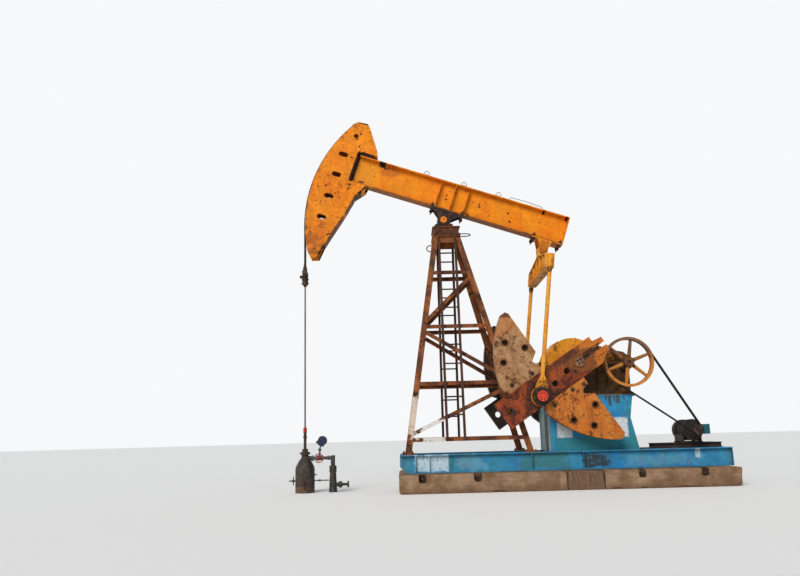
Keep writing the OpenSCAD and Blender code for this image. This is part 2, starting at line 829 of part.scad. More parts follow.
module reducer_housing() color(iron) difference() {
    union() {
        block([housing_left - 30, -reducer_y - 95, pedestal_top],
            [housing_right + 15, reducer_y + 95, pedestal_top + 40]);
        block([housing_left, -reducer_y, pedestal_top + 40], [housing_right, reducer_y, shaft_z - 30]);
        block([housing_left - 20, -reducer_y - split_out, shaft_z - 30],
            [housing_right + 60, reducer_y + split_out, shaft_z]);
        both_sides() {
            for (x = [shaft_x - 330, shaft_x + 492, shaft_x + 698])
                block([x - 8, -reducer_y - split_out + 6, pedestal_top + 40], [x + 8, -reducer_y, shaft_z - 30]);
            // Bearing bosses, lower halves
            for (boss = [[shaft_x, 250], [input_x, 150]]) intersection() {
                cross_bar(boss[0], shaft_z, 2 * boss[1], -reducer_y - 110, -reducer_y);
                block([0, -1000, 0], [6000, 0, shaft_z]);
            }
        }
    }
    reducer_bores();
}

module cover_outline() {
    r = 555;
    translate([shaft_x, shaft_z]) intersection() {
        union() {
            circle(r = r);
            polygon([[0, 0], [0, r], [165, r - 67 + 40], [807, 293], [reducer_len, 238], [input_x - shaft_x + 130, 126],
                [input_x - shaft_x + 140, 0]]);
        }
        translate([-r, 30]) square([2600, 1000]);
    }
}

module reducer_cover() color(orange_paint) difference() {
    union() {
        block([housing_left - 20, -reducer_y - split_out, shaft_z],
            [housing_right + 60, reducer_y + split_out, shaft_z + 30]);
        upright(-reducer_y, 2 * reducer_y) cover_outline();
        both_sides() for (boss = [[shaft_x, 250], [input_x, 150]]) intersection() {
            cross_bar(boss[0], shaft_z, 2 * boss[1], -reducer_y - 110, -reducer_y);
            block([0, -1000, shaft_z], [6000, 0, shaft_z + 1000]);
        }
        // Ribs that run over the gear's cover
        for (a = [35, 80, 120]) translate([shaft_x, 0, shaft_z]) rotate([0, -a, 0])
            block([250, -reducer_y - 12, -8], [567, reducer_y + 12, 8]);
    }
    reducer_bores();
}

module input_shaft() color(iron) cross_bar(input_x, shaft_z, input_d, sheave_y - sheave_w / 2 - 20, 700);

function belt_y(i) = sheave_y + (i - (belt_count - 1) / 2) * belt_pitch;

// A band round the Y axis, between two diameters
module band(d, bore, w) {
    rotate([90, 0, 0]) difference() {
        cylinder(d = d, h = w, center = true, $fn = 128);
        cylinder(d = bore, h = w + 2, center = true, $fn = 128);
    }
}

module grooves(d) {
    for (i = [0:belt_count - 1]) translate([0, belt_y(i) - sheave_y, 0])
        band(d + 2, d - 2 * belt_sink - 2, belt_w + 3);
}

module sheave() color("peru") translate([input_x, sheave_y, shaft_z]) {
    difference() {
        union() {
            band(sheave_d, sheave_d - 110, sheave_w);
            rotate([90, 0, 0]) cylinder(d = 200, h = sheave_w + 20, center = true);
            for (i = [0:spokes - 1]) rotate([0, 360 / spokes * i + 40, 0]) {
                translate([0, 0, 0]) rotate([0, 90, 0]) linear_extrude(sheave_d / 2 - 50)
                    square([22, 76], center = true);
                rotate([90, 0, 0]) linear_extrude(24, center = true)
                    polygon([[0, -42], [sheave_d / 2 - 50, -28], [sheave_d / 2 - 50, 28], [0, 42]]);
            }
        }
        grooves(sheave_d);
        rotate([90, 0, 0]) cylinder(d = input_d, h = sheave_w + 30, center = true);
    }
}

module brake_drum() color(iron) difference() {
    union() {
        cross_bar(input_x, shaft_z, 520, 560, 660);
        cross_bar(input_x, shaft_z, 160, 545, 690);
    }
    cross_bar(input_x, shaft_z, 460, 590, 661);
    cross_bar(input_x, shaft_z, input_d, 500, 700);
}

module motor_pulley() color(iron) translate([motor_x, sheave_y, motor_z]) difference() {
    rotate([90, 0, 0]) cylinder(d = pulley_d, h = sheave_w, center = true, $fn = 128);
    grooves(pulley_d);
    rotate([90, 0, 0]) cylinder(d = motor_shaft_d + 2 * shaft_fit, h = sheave_w + 2, center = true);
}

// Frame of the belts' plane: origin on the sheave's axis, X towards the motor's axis
belt_run = [motor_x - input_x, motor_z - shaft_z];
belt_span = norm(belt_run);
belt_turn = atan2(belt_run[1], belt_run[0]);
sheave_seat = sheave_d / 2 - belt_sink;
pulley_seat = pulley_d / 2 - belt_sink;
belt_open = acos((sheave_seat - pulley_seat) / belt_span);

// Points on a wheel of radius r from angle a1 to a2
function wheel_points(at, r, a1, a2, steps) = [for (i = [0:steps])
    at + r * [cos(a1 + (a2 - a1) * i / steps), sin(a1 + (a2 - a1) * i / steps)]];

// A belt's outline, t outside the seats: round the sheave, then round the pulley
function loop_points(t) = concat(
    wheel_points([0, 0], sheave_seat + t, belt_open, 360 - belt_open, 48),
    wheel_points([belt_span, 0], pulley_seat + t, -belt_open, belt_open, 16));

module belt_loop() difference() {
    polygon(loop_points(belt_t));
    polygon(loop_points(0));
}

module drive_belts() color("black") for (i = [0:belt_count - 1])
    upright(belt_y(i) - belt_w / 2, belt_w)
        translate([input_x, shaft_z]) rotate(belt_turn) belt_loop();

// Motor

rail_h = 100;
rail_y = [-330, 60];

module motor_rails() color("black") for (y = rail_y)
    translate([0, y, 0]) i_beam_rail(motor_x - 750, skid_right - 30);

module i_beam_rail(x1, x2) {
    translate([x1, -45, skid_top]) rotate([90, 0, 90]) linear_extrude(x2 - x1)
        i_section(90, rail_h, 16, 16);
}

module motor_body() color(iron) {
    r = motor_d / 2;
    front = -450;
    back = 150;
    cross_bar(motor_x, motor_z, motor_d - 50, front + 60, back);
    for (i = [0:fins - 1]) translate([motor_x, 0, motor_z]) rotate([0, 360 / fins * i, 0])
        block([r - 40, front + 65, -4], [r - 4, back - 125, 4]);
    // End bells and the fan's cowl
    cross_bar(motor_x, motor_z, motor_d, front + 20, front + 70);
    cross_bar(motor_x, motor_z, motor_d - 150, front, front + 20);
    cross_bar(motor_x, motor_z, motor_d, back - 130, back);
    // Feet
    for (y = rail_y) block([motor_x - 210, y - 40, skid_top + rail_h], [motor_x + 210, y + 40, skid_top + rail_h + 24]);
    for (x = [-190, 165]) block([motor_x + x, rail_y[0] - 40, skid_top + rail_h + 24],
        [motor_x + x + 25, rail_y[1] + 40, motor_z - 60]);
    cross_bar(motor_x, motor_z, motor_shaft_d, sheave_y - sheave_w / 2 - 12, front);
    // Terminal box
    block([motor_x + 150, -250, motor_z - 90], [motor_x + 430, 20, motor_z + 110]);
}

// Wellhead

module pipe_x(x1, x2, y, z, d) translate([x1, y, z]) rotate([0, 90, 0]) cylinder(d = d, h = x2 - x1);

// A flat ring handwheel with four spokes, its axis along Z
module handwheel(d, bar) {
    rotate_extrude($fn = 32) translate([d / 2 - bar / 2, 0]) circle(d = bar, $fn = 12);
    for (a = [0, 90]) rotate(a) cube([d - bar, bar * 0.7, bar * 0.7], center = true);
    translate([0, 0, -bar]) cylinder(d = bar * 2.2, h = 2 * bar);
}

well_bore = 90;
outlet_end = neck_d / 2 + 75;

module casing_head() color(iron) at_well() {
    rotate_extrude() difference() {
        polygon([[0, 0], [casing_d / 2, 0], [casing_d / 2, casing_side], [casing_d / 2 - 12, casing_side + 50],
            [casing_d / 2 - 60, casing_side + 140], [neck_d / 2 + 22, casing_top - 90],
            [neck_d / 2, casing_top - 60], [neck_d / 2, casing_top], [0, casing_top]]);
        translate([-1, -1]) square([well_bore / 2 + 1, casing_top + 2]);
    }
    // Side outlet that carries the flow line's arm
    pipe_x(neck_d / 2 - 10, outlet_end, 0, arm_z, 96);
}

module stuffing_box() color("firebrick") at_well() rotate_extrude() difference() {
    nut = casing_top;
    polygon([[0, nut], [105, nut], [105, nut + 50], [60, nut + 50], [60, nut + 115], [30, nut + 115],
        [30, nut + 325], [38, nut + 325], [38, nut + 385], [30, nut + 385], [30, gland_top - 110],
        [37, gland_top - 110], [37, gland_top], [0, gland_top]]);
    translate([-1, nut - 1]) square([rod_d / 2 + 1 + 4, gland_top - 60 - nut]);
    translate([-1, nut - 1]) square([rod_d / 2 + 1 + shaft_fit, gland_top + 2 - nut]);
}

module flow_arm() color("gray") at_well() {
    start = outlet_end;
    // Arm from the casing head's outlet to the riser
    translate([0, 0, arm_z]) {
        pipe_x(start + seat_gap, riser_x - 45 - seat_gap, 0, 0, 66);
        pipe_x(start + seat_gap, start + 24, 0, 0, 120);
        pipe_x(start + 90, start + 110, 0, 0, 120);
        pipe_x(start + 110, start + 200, 0, 0, 96);
        pipe_x(start + 200, start + 220, 0, 0, 120);
        pipe_x(riser_x - 110, riser_x - 70, 0, 0, 92);
        // Valve bonnet with its stem and handwheel towards the belt side
        translate([start + 155, 0, 0]) rotate([90, 0, 0]) {
            cylinder(d = 60, h = 130);
            cylinder(d = 20, h = 190);
            translate([0, 0, 175]) rotate([0, 0, 0]) handwheel(190, 18);
        }
        // Branch that carries the gauge
        translate([start + 155, 0, 0]) {
            cylinder(d = 40, h = 150);
            translate([0, 0, 150]) cylinder(d = 70, h = 40);
            translate([0, 0, 190]) rotate([0, 20, 0]) {
                cylinder(d = 30, h = 60);
                translate([0, 0, 175]) rotate([90, 0, 0]) cylinder(d = 190, h = 70, center = true);
                translate([-60, -45, 60]) cube([120, 90, 120]);
                translate([-60, 0, 110]) rotate([0, -90, 0]) cylinder(d = 60, h = 55);
            }
        }
    }
}

module flow_riser() color(iron) at_well() {
    translate([riser_x, 0, 0]) {
        cylinder(d1 = 170, d2 = 130, h = 400);
        translate([0, 0, 400]) cylinder(d = 150, h = 130);
        cylinder(d = 90, h = arm_z + 50);
        // Outlet low on the riser, with its flange
        translate([0, 0, 150]) {
            pipe_x(60, 200, 0, 0, 84);
            pipe_x(120, 180, 0, 0, 130);
            pipe_x(200, 300, 0, 0, 56);
            pipe_x(300, 330, 0, 0, 130);
        }
    }
}

module casing_valves() color(iron) at_well() {
    out = casing_d / 2 + seat_gap;
    // Front valve with its handwheel facing the belt side
    translate([0, 0, 210]) rotate([90, 0, 0]) translate([0, 0, out]) {
        cylinder(d = 90, h = 30);
        cylinder(d = 50, h = 110);
        translate([0, 0, 100]) handwheel(150, 14);
    }
    // Side valve away from the machine, with its upright lever
    translate([0, 0, 240]) {
        pipe_x(-out - 130, -out, 0, 0, 26);
        pipe_x(-out - 60, -out - 20, 0, 0, 60);
        translate([-out - 40, 0, -90]) cylinder(d = 20, h = 180);
    }
    // Stub and the thin balance pipe to the riser
    pipe_x(out, out + 50, 0, 355, 22);
    pipe_x(out, riser_x - 78, 0, 240, 22);
    pipe_x(out + 80, out + 130, 0, 240, 40);
}

// Rod string

carrier_z = 4340;
carrier_top = 4700;

module polished_rod() color("silver") at_well() translate([0, 0, 300]) cylinder(d = rod_d, h = carrier_top + 60 - 300);

module carrier_bar() color(iron) at_well() difference() {
    union() {
        block([-50, -rope_y - 50, carrier_top - 100], [50, rope_y + 50, carrier_top - 20]);
        // Rod clamp and the load plates under the bar
        translate([0, 0, carrier_z + 40]) cylinder(d = 130, h = carrier_top - carrier_z - 140);
        translate([0, 0, carrier_z]) cylinder(d = 70, h = 40);
        for (y = [-rope_y, rope_y]) translate([0, y, carrier_top - 150]) cylinder(d = 56, h = 50);
        block([-115, -40, carrier_top - 165], [-50, 40, carrier_top - 110]);
        // Clamp on top that grips the rod
        translate([0, 0, carrier_top - 20]) cylinder(d = 80, h = 50);
    }
    translate([0, 0, carrier_z - eps]) cylinder(d = rod_d, h = 1000);
}

module bridle_drop() color("black") at_well() for (y = [-rope_y, rope_y])
    translate([0, y, carrier_top - 20]) cylinder(d = rope_d, h = saddle_z - carrier_top + 20);

foundation_blocks();
timber_packing();
skid_beams();
skid_cross_members();
post_legs();
post_side_braces();
post_cross_braces();
post_cap();
ladder_near();
ladder_far();
saddle_pillow_blocks();
reducer_pedestal();
reducer_housing();
reducer_cover();
motor_rails();
motor_body();
drive_belts();
casing_head();
stuffing_box();
flow_arm();
flow_riser();
casing_valves();
slow_shaft();
crank_near();
crank_far();
weight_near_upper();
weight_near_lower();
weight_far_upper();
weight_far_lower();
sheave();
input_shaft();
brake_drum();
motor_pulley();
walking_beam();
horsehead();
saddle_bracket();
tail_bracket();
beam_rail();
bridle_wrap();
equalizer();
pitmans();
wrist_bearings();
polished_rod();
carrier_bar();
bridle_drop();
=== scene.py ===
# %% [markdown]
# # A beam pumping unit in its finishes
# The machine nods over an oil well: a motor turns two cranks through belts and
# gears, the cranks rock a long beam, and the beam's head lifts a rod out of the
# well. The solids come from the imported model, so this lesson gives them their
# finishes, adds the small parts, and sets the light and the camera.

import json
import random
from math import atan2, cos, dist, pi, radians, sin

import bmesh
import bpy
from mathutils import Matrix, Vector, noise


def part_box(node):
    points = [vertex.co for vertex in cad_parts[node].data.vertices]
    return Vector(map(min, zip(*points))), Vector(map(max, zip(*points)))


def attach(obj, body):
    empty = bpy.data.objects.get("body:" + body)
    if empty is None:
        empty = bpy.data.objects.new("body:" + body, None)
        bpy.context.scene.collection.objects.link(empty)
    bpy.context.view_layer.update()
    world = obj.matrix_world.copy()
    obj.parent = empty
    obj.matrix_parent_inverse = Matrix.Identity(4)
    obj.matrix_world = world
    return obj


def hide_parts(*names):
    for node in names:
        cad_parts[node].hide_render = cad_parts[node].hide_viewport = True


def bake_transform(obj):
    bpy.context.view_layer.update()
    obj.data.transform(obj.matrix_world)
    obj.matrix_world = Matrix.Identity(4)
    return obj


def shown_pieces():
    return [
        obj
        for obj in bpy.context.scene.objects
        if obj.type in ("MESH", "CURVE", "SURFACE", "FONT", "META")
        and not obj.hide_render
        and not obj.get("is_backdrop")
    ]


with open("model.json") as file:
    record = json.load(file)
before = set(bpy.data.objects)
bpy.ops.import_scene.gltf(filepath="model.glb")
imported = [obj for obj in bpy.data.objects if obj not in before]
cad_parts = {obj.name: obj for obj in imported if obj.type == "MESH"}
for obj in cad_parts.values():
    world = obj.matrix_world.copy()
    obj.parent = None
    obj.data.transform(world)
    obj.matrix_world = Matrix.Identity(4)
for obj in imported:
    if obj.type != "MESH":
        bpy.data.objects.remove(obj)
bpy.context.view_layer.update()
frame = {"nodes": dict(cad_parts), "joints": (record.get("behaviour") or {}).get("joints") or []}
print("solids in the frame:", len(frame["nodes"]))

# %% [markdown]
# ## Places taken from the frame
# The joints know where the machine turns, so the frames of the beam, the cranks
# and the crank pins are worked out from them. Details are then placed in a piece's
# own frame, the way a fitter measures along the piece itself.

# %% Frames of the moving pieces
JOINTS = {j["name"]: j for j in frame["joints"]}
SADDLE = Vector(JOINTS["beam_rock"]["pos_m"])
TAIL = Vector(JOINTS["equalizer_swing"]["pos_m"])
SLOW = Vector(JOINTS["crank_turn"]["pos_m"])
FAST = Vector(JOINTS["sheave_spin"]["pos_m"])

BEAM_TILT = radians(19)
CRANK_DIP = radians(33.4)
PIN_PHASE = radians(5.7)
CRANK_TILT = pi - CRANK_DIP
CRANK_R = 1.064

PIN_DIP = CRANK_DIP + PIN_PHASE
PIN = SLOW - CRANK_R * Vector((cos(PIN_DIP), 0, sin(PIN_DIP)))
LEAN = atan2(TAIL.x - PIN.x, TAIL.z - PIN.z)
BEAM_FRAME = Matrix.Translation(SADDLE) @ Matrix.Rotation(BEAM_TILT, 4, "Y")
CRANK_FRAME = Matrix.Translation(SLOW) @ Matrix.Rotation(CRANK_TILT, 4, "Y")
PIN_FRAME = Matrix.Translation(PIN) @ Matrix.Rotation(LEAN, 4, "Y")
SIDES = (-1, 1)
print("crank pin at", [round(v, 3) for v in PIN])


def inside(piece_frame, x, y, z):
    """A place measured in a piece's own frame."""
    return piece_frame @ Matrix.Translation((x, y, z))


# %% [markdown]
# ## Shared effects
# Paint, rust, oil and dust fall on the whole machine, so each effect is a node
# group that many materials place with their own values. The groups put out
# masks and colours alone, so that each finish is free to combine them.


# %% Helpers for node trees
def add(tree, kind, **settings):
    node = tree.nodes.new(kind)
    for key, value in settings.items():
        setattr(node, key, value)
    return node


def feed(tree, source, target):
    """Joins a socket to an input, or writes a plain value on it."""
    if isinstance(source, bpy.types.NodeSocket):
        tree.links.new(source, target)
    elif target.type == "RGBA" and len(source) == 3:
        target.default_value = (*source, 1)
    else:
        target.default_value = source


def maths(tree, operation, a, b=0.0, clamp=False):
    node = add(tree, "ShaderNodeMath", operation=operation, use_clamp=clamp)
    feed(tree, a, node.inputs[0])
    feed(tree, b, node.inputs[1])
    return node.outputs[0]


def times(tree, a, b):
    return maths(tree, "MULTIPLY", a, b)


def vector_maths(tree, operation, a, b=None):
    node = add(tree, "ShaderNodeVectorMath", operation=operation)
    feed(tree, a, node.inputs[0])
    if b is not None:
        feed(tree, b, node.inputs[1])
    return node.outputs


def remap(tree, value, low, high, to_low=0.0, to_high=1.0):
    node = add(tree, "ShaderNodeMapRange", interpolation_type="SMOOTHSTEP")
    for i, v in enumerate((value, low, high, to_low, to_high)):
        feed(tree, v, node.inputs[i])
    return node.outputs[0]


def mix(tree, factor, a, b, blend="MIX"):
    node = add(tree, "ShaderNodeMix", data_type="RGBA", blend_type=blend)
    feed(tree, factor, node.inputs["Factor"])
    feed(tree, a, node.inputs[6])
    feed(tree, b, node.inputs[7])
    return node.outputs[2]


def metres(tree):
    """The place of each point in the piece's own metres."""
    return add(tree, "ShaderNodeTexCoord").outputs["Object"]


def speckle(tree, scale, detail=5.0, rough=0.6, stretch=None, distortion=0.0):
    """Noise in the piece's own metres, stretched where grain or streaks need it."""
    place = metres(tree)
    if stretch:
        mapping = add(tree, "ShaderNodeMapping")
        feed(tree, place, mapping.inputs["Vector"])
        mapping.inputs["Scale"].default_value = stretch
        place = mapping.outputs[0]
    node = add(tree, "ShaderNodeTexNoise")
    feed(tree, place, node.inputs["Vector"])
    values = (("Scale", scale), ("Detail", detail), ("Roughness", rough), ("Distortion", distortion))
    for key, value in values:
        feed(tree, value, node.inputs[key])
    return node.outputs["Fac"]


def effect(name, inputs, outputs):
    """An empty node group, and its two end nodes. A socket's kind follows from its default."""
    tree = bpy.data.node_groups.new(name, "ShaderNodeTree")
    kinds = {float: "NodeSocketFloat", tuple: "NodeSocketColor", Vector: "NodeSocketVector"}
    for key, value in inputs.items():
        socket = tree.interface.new_socket(name=key, in_out="INPUT", socket_type=kinds[type(value)])
        socket.default_value = (*value, 1) if isinstance(value, tuple) else value
    for key in outputs:
        kind = kinds[tuple if key == "Colour" else float]
        tree.interface.new_socket(name=key, in_out="OUTPUT", socket_type=kind)
    print("effect:", name, "from", ", ".join(inputs))
    return tree, add(tree, "NodeGroupInput").outputs, add(tree, "NodeGroupOutput").inputs


def place_effect(tree, group, **values):
    node = add(tree, "ShaderNodeGroup", node_tree=group)
    for key, value in values.items():
        feed(tree, value, node.inputs[key.replace("_", " ").capitalize()])
    return node.outputs


# %% [markdown]
# ### Edge wear
# Paint goes first where a corner is knocked. A corner is found by comparing the
# true surface normal with one that a small bevel has rounded: they differ only
# near edges. That needs no painted map.

# %% Edge wear group
EDGE, knocks, worn = effect("Edge wear", {"Width": 0.01}, ["Mask"])
bevel = add(EDGE, "ShaderNodeBevel", samples=4)
feed(EDGE, knocks["Width"], bevel.inputs["Radius"])
flat = add(EDGE, "ShaderNodeNewGeometry").outputs["Normal"]
facing = vector_maths(EDGE, "DOT_PRODUCT", bevel.outputs[0], flat)["Value"]
corner = remap(EDGE, facing, 0.985, 0.9)
chips = remap(EDGE, speckle(EDGE, 6.0, 6.0, 0.7), 0.42, 0.58)
feed(EDGE, times(EDGE, corner, chips), worn["Mask"])

# %% [markdown]
# ### Stained or shaded place
# Oil on a crank or whitewash on a panel lies in one spot, and so does painted
# shade in a hole, a slot or a seam. A rounded box around a centre, its border
# pushed about by noise, gives a hand-brushed or spilt outline.

# %% Stained or shaded place group
PLACE, spot, stain_or_shade = effect(
    "Stained or shaded place",
    {
        "Centre": Vector((0, 0, 0)), "Half": Vector((1, 1, 1)),
        "Raggedness": 0.3, "Tilt": 0.0, "Roundness": 0.0,
    },
    ["Mask"],
)
here = add(PLACE, "ShaderNodeVectorRotate", rotation_type="Y_AXIS", invert=True)
feed(PLACE, metres(PLACE), here.inputs["Vector"])
feed(PLACE, spot["Centre"], here.inputs["Center"])
feed(PLACE, spot["Tilt"], here.inputs["Angle"])
away = vector_maths(PLACE, "SUBTRACT", here.outputs[0], spot["Centre"])[0]
share = vector_maths(PLACE, "DIVIDE", away, spot["Half"])[0]
parts = add(PLACE, "ShaderNodeSeparateXYZ")
feed(PLACE, vector_maths(PLACE, "ABSOLUTE", share)[0], parts.inputs[0])
boxy = maths(PLACE, "MAXIMUM", maths(PLACE, "MAXIMUM", parts.outputs[0], parts.outputs[1]), parts.outputs[2])
rounder = maths(PLACE, "SUBTRACT", vector_maths(PLACE, "LENGTH", share)["Value"], boxy)
far_out = maths(PLACE, "ADD", boxy, times(PLACE, rounder, spot["Roundness"]))
uneven = maths(PLACE, "SUBTRACT", speckle(PLACE, 4.0, 10.0, 0.75), 0.5)
ragged = times(PLACE, uneven, spot["Raggedness"])
within = remap(PLACE, maths(PLACE, "ADD", far_out, times(PLACE, ragged, 4.0)), 1.1, 0.88)
flakes = remap(PLACE, speckle(PLACE, 17.0, 7.0, 0.75), 0.36, 0.5, 0.35, 1.0)
feed(PLACE, times(PLACE, within, flakes), stain_or_shade["Mask"])

# %% [markdown]
# ### Weathered paint
# One group serves every painted piece: two tones of paint that drift into each
# other, blisters and pits of rust, worn edges, and dark streaks that rain has
# drawn downwards. The rust lies a little lower than the paint, so it also puts
# out a height. Cracks are the places where a noise crosses its middle value,
# which draws thin wandering lines.

# %% Weathered paint group
PAINT, w, out = effect(
    "Weathered paint",
    {
        "Paint": (0.8, 0.3, 0.05), "Faded": (0.8, 0.4, 0.1),
        "Rust": (0.25, 0.07, 0.02), "Bare": (0.05, 0.02, 0.01),
        "Rust share": 0.3, "Pits": 1.0, "Edge": 0.012, "Streaks": 0.4,
        "Cracks": 0.0, "Speckle": 0.0, "Scale": 1.0,
    },
    ["Colour", "Roughness", "Height"],
)


def scaled(k):
    return times(PAINT, w["Scale"], k)


def paint_noise(k, *rest):
    """Noise whose scale follows the group's own Scale."""
    return speckle(PAINT, scaled(k), *rest)


drift = remap(PAINT, paint_noise(1.4, 4.0, 0.6), 0.35, 0.65)
fine = paint_noise(38.0, 3.0, 0.6)
coat = mix(PAINT, drift, w["Paint"], w["Faded"])
cloud = paint_noise(4.5, 8.0, 0.7)
shade = mix(PAINT, remap(PAINT, cloud, 0.25, 0.75), (0.78, 0.74, 0.7), (1.1, 1.1, 1.1))
coat = mix(PAINT, 1.0, coat, shade, "MULTIPLY")
coat = mix(PAINT, 0.5, coat, mix(PAINT, fine, (0.55, 0.52, 0.5), (1.3, 1.3, 1.3)), "MULTIPLY")
run_down = remap(PAINT, paint_noise(7.0, 4.0, 0.6, (1.0, 1.0, 0.12)), 0.48, 0.72)
coat = mix(PAINT, times(PAINT, run_down, w["Streaks"]), coat, w["Rust"])
patchy = paint_noise(3.2, 9.0, 0.72, None, 0.4)
start = maths(PAINT, "SUBTRACT", 0.78, times(PAINT, w["Rust share"], 0.5))
blisters = remap(PAINT, patchy, start, maths(PAINT, "ADD", start, 0.07))
cells = add(PAINT, "ShaderNodeTexVoronoi", feature="F1")
feed(PAINT, metres(PAINT), cells.inputs["Vector"])
feed(PAINT, scaled(7.5), cells.inputs["Scale"])
few = remap(PAINT, paint_noise(1.9, 3.0, 0.6), 0.46, 0.6)
frayed = maths(PAINT, "ADD", cells.outputs["Distance"], times(PAINT, fine, 0.25))
dots = times(PAINT, remap(PAINT, frayed, 0.4, 0.26), few)
rare = maths(PAINT, "SUBTRACT", 0.635, times(PAINT, w["Speckle"], 0.07))
specks = remap(PAINT, paint_noise(24.0, 5.0, 0.7), rare, maths(PAINT, "ADD", rare, 0.05))
specks = times(PAINT, specks, remap(PAINT, patchy, 0.44, 0.58))
pits = times(PAINT, maths(PAINT, "MAXIMUM", dots, specks), w["Pits"])
wander = maths(PAINT, "ABSOLUTE", maths(PAINT, "SUBTRACT", paint_noise(2.6, 6.0, 0.6, None, 0.8), 0.5))
cracks = times(PAINT, remap(PAINT, wander, 0.02, 0.004), remap(PAINT, cloud, 0.4, 0.56))
pits = maths(PAINT, "MAXIMUM", pits, times(PAINT, cracks, w["Cracks"]))
knocked = place_effect(PAINT, EDGE, width=w["Edge"])["Mask"]
rusted = maths(PAINT, "MAXIMUM", maths(PAINT, "MAXIMUM", blisters, pits), knocked)
steel = mix(PAINT, remap(PAINT, paint_noise(16.0, 6.0, 0.7), 0.35, 0.65), w["Rust"], w["Bare"])
feed(PAINT, mix(PAINT, rusted, coat, steel), out["Colour"])
feed(PAINT, remap(PAINT, rusted, 0.0, 1.0, 0.52, 0.92), out["Roughness"])
feed(PAINT, maths(PAINT, "SUBTRACT", times(PAINT, fine, 0.25), rusted), out["Height"])

# %% [markdown]
# ## Finishes
# Each material places the groups above, lays its own stains over them and ends
# in one Principled shader with a bump. A table of materials would hide what is
# special about each, so every finish has its own call.


# %% Helpers for materials
def new_material(name):
    material = bpy.data.materials.new(name)
    material.use_nodes = True
    print("finish:", name)
    return material.node_tree, material.node_tree.nodes["Principled BSDF"], material


def surface(tree, shader, colour, roughness, height=None, depth=0.002, strength=0.6):
    feed(tree, colour, shader.inputs["Base Color"])
    feed(tree, roughness, shader.inputs["Roughness"])
    shader.inputs["Specular IOR Level"].default_value = 0.14
    if height is not None:
        bump = add(tree, "ShaderNodeBump")
        bump.inputs["Strength"].default_value = strength
        bump.inputs["Distance"].default_value = depth
        feed(tree, height, bump.inputs["Height"])
        feed(tree, bump.outputs[0], shader.inputs["Normal"])


def stained(tree, colour, stains):
    """Lays stains and painted shade on: centre, half size, colour, share, raggedness, and maybe tilt and
    roundness.
    """
    for centre, half, tint, share, rag, *turned_by in stains:
        tilt, roundness = (*turned_by, 0.0, 0.0)[:2]
        where = dict(centre=centre, half=half, raggedness=rag, tilt=tilt, roundness=roundness)
        mask = place_effect(tree, PLACE, **where)["Mask"]
        colour = mix(tree, times(tree, mask, share), colour, tint)
    return colour


def on_beam(u, v):
    """A point of the beam's own frame, in the frame of the whole machine."""
    return tuple(BEAM_FRAME @ Vector((u, 0, v)))


def on_crank(x, z, y=-1.0):
    """A point of the near crank's face, in the frame of the whole machine."""
    return tuple(CRANK_FRAME @ Vector((x, y, z)))


def beam_stain_or_shade(u, v, half_u, half_v, tint, share, rag, roundness=0.0):
    """A stain or a patch of painted shade that lies along the beam, through both its sides."""
    return (on_beam(u, v), (half_u, 0.5, half_v), tint, share, rag, BEAM_TILT, roundness)


# A round stain, or a round patch of painted shade.
def round_stain_or_shade(centre, half, tint, share, rag):
    return (centre, half, tint, share, rag, 0.0, 1.0)


def painted(name, paint, faded, bitten, under, stains=(), **values):
    """A material of weathered paint, from two tones of paint, rust and bare steel, with stained places and
    patches of painted shade.
    """
    tree, shader, material = new_material(name)
    base = place_effect(tree, PAINT, paint=paint, faded=faded, rust=bitten, bare=under, **values)
    surface(tree, shader, stained(tree, base["Colour"], stains), base["Roughness"], base["Height"])
    return material


# %% [markdown]
# ### Orange of the beam and the horsehead
# The beam is a warm orange that the sun has yellowed in places. Rust shows as
# small round pits, with a dark stain near the head. The lower flange is darker,
# partly with rust and partly with painted shade of its underside. On the head,
# the slots and the seams are painted dark as painted shade.

# %% Orange paint
ORANGE = (0.84, 0.222, 0.004)
SUNNED = (0.86, 0.29, 0.008)
RUST = (0.2, 0.052, 0.016)
BARE = (0.035, 0.013, 0.008)
# Near black: soot, and painted shade in holes, slots, seams and pockets.
SHADE_AND_SOOT = (0.009, 0.005, 0.004)
BLACK = (0.022, 0.019, 0.018)
WORN_BLACK = (0.045, 0.036, 0.032)
BLACK_STEEL = (0.02, 0.012, 0.01)
beam_orange = painted(
    "orange_beam_paint", ORANGE, SUNNED, RUST, BARE,
    rust_share=0.3, streaks=0.2, cracks=0.2, speckle=0.25,
    stains=[
        # The dark brown band along the lower flange is partly rust and partly painted shade of its
        # underside.
        beam_stain_or_shade(0.2, 0.298, 2.45, 0.02, (0.17, 0.052, 0.01), 0.9, 0.12),
        beam_stain_or_shade(-1.98, 0.6, 0.21, 0.3, (0.66, 0.255, 0.016), 0.55, 0.3),
        beam_stain_or_shade(-1.69, 0.9, 0.085, 0.055, SHADE_AND_SOOT, 1.0, 0.6),
        beam_stain_or_shade(-1.5, 0.8, 0.16, 0.1, RUST, 0.4, 1.8),
        beam_stain_or_shade(-2.05, 0.36, 0.07, 0.05, SHADE_AND_SOOT, 0.8, 0.8),
        beam_stain_or_shade(2.58, 0.91, 0.03, 0.03, SHADE_AND_SOOT, 1.0, 0.3),
        beam_stain_or_shade(2.06, 0.9, 0.028, 0.034, SHADE_AND_SOOT, 1.0, 0.4),
        beam_stain_or_shade(0.66, 0.62, 0.035, 0.035, SHADE_AND_SOOT, 0.8, 0.5, 1.0),
        beam_stain_or_shade(0.45, 0.34, 0.05, 0.05, SHADE_AND_SOOT, 0.8, 0.6),
        beam_stain_or_shade(1.84, 0.33, 0.09, 0.03, SHADE_AND_SOOT, 0.8, 0.5),
        beam_stain_or_shade(2.26, 0.1, 0.3, 0.16, RUST, 0.6, 1.1),
    ],
)


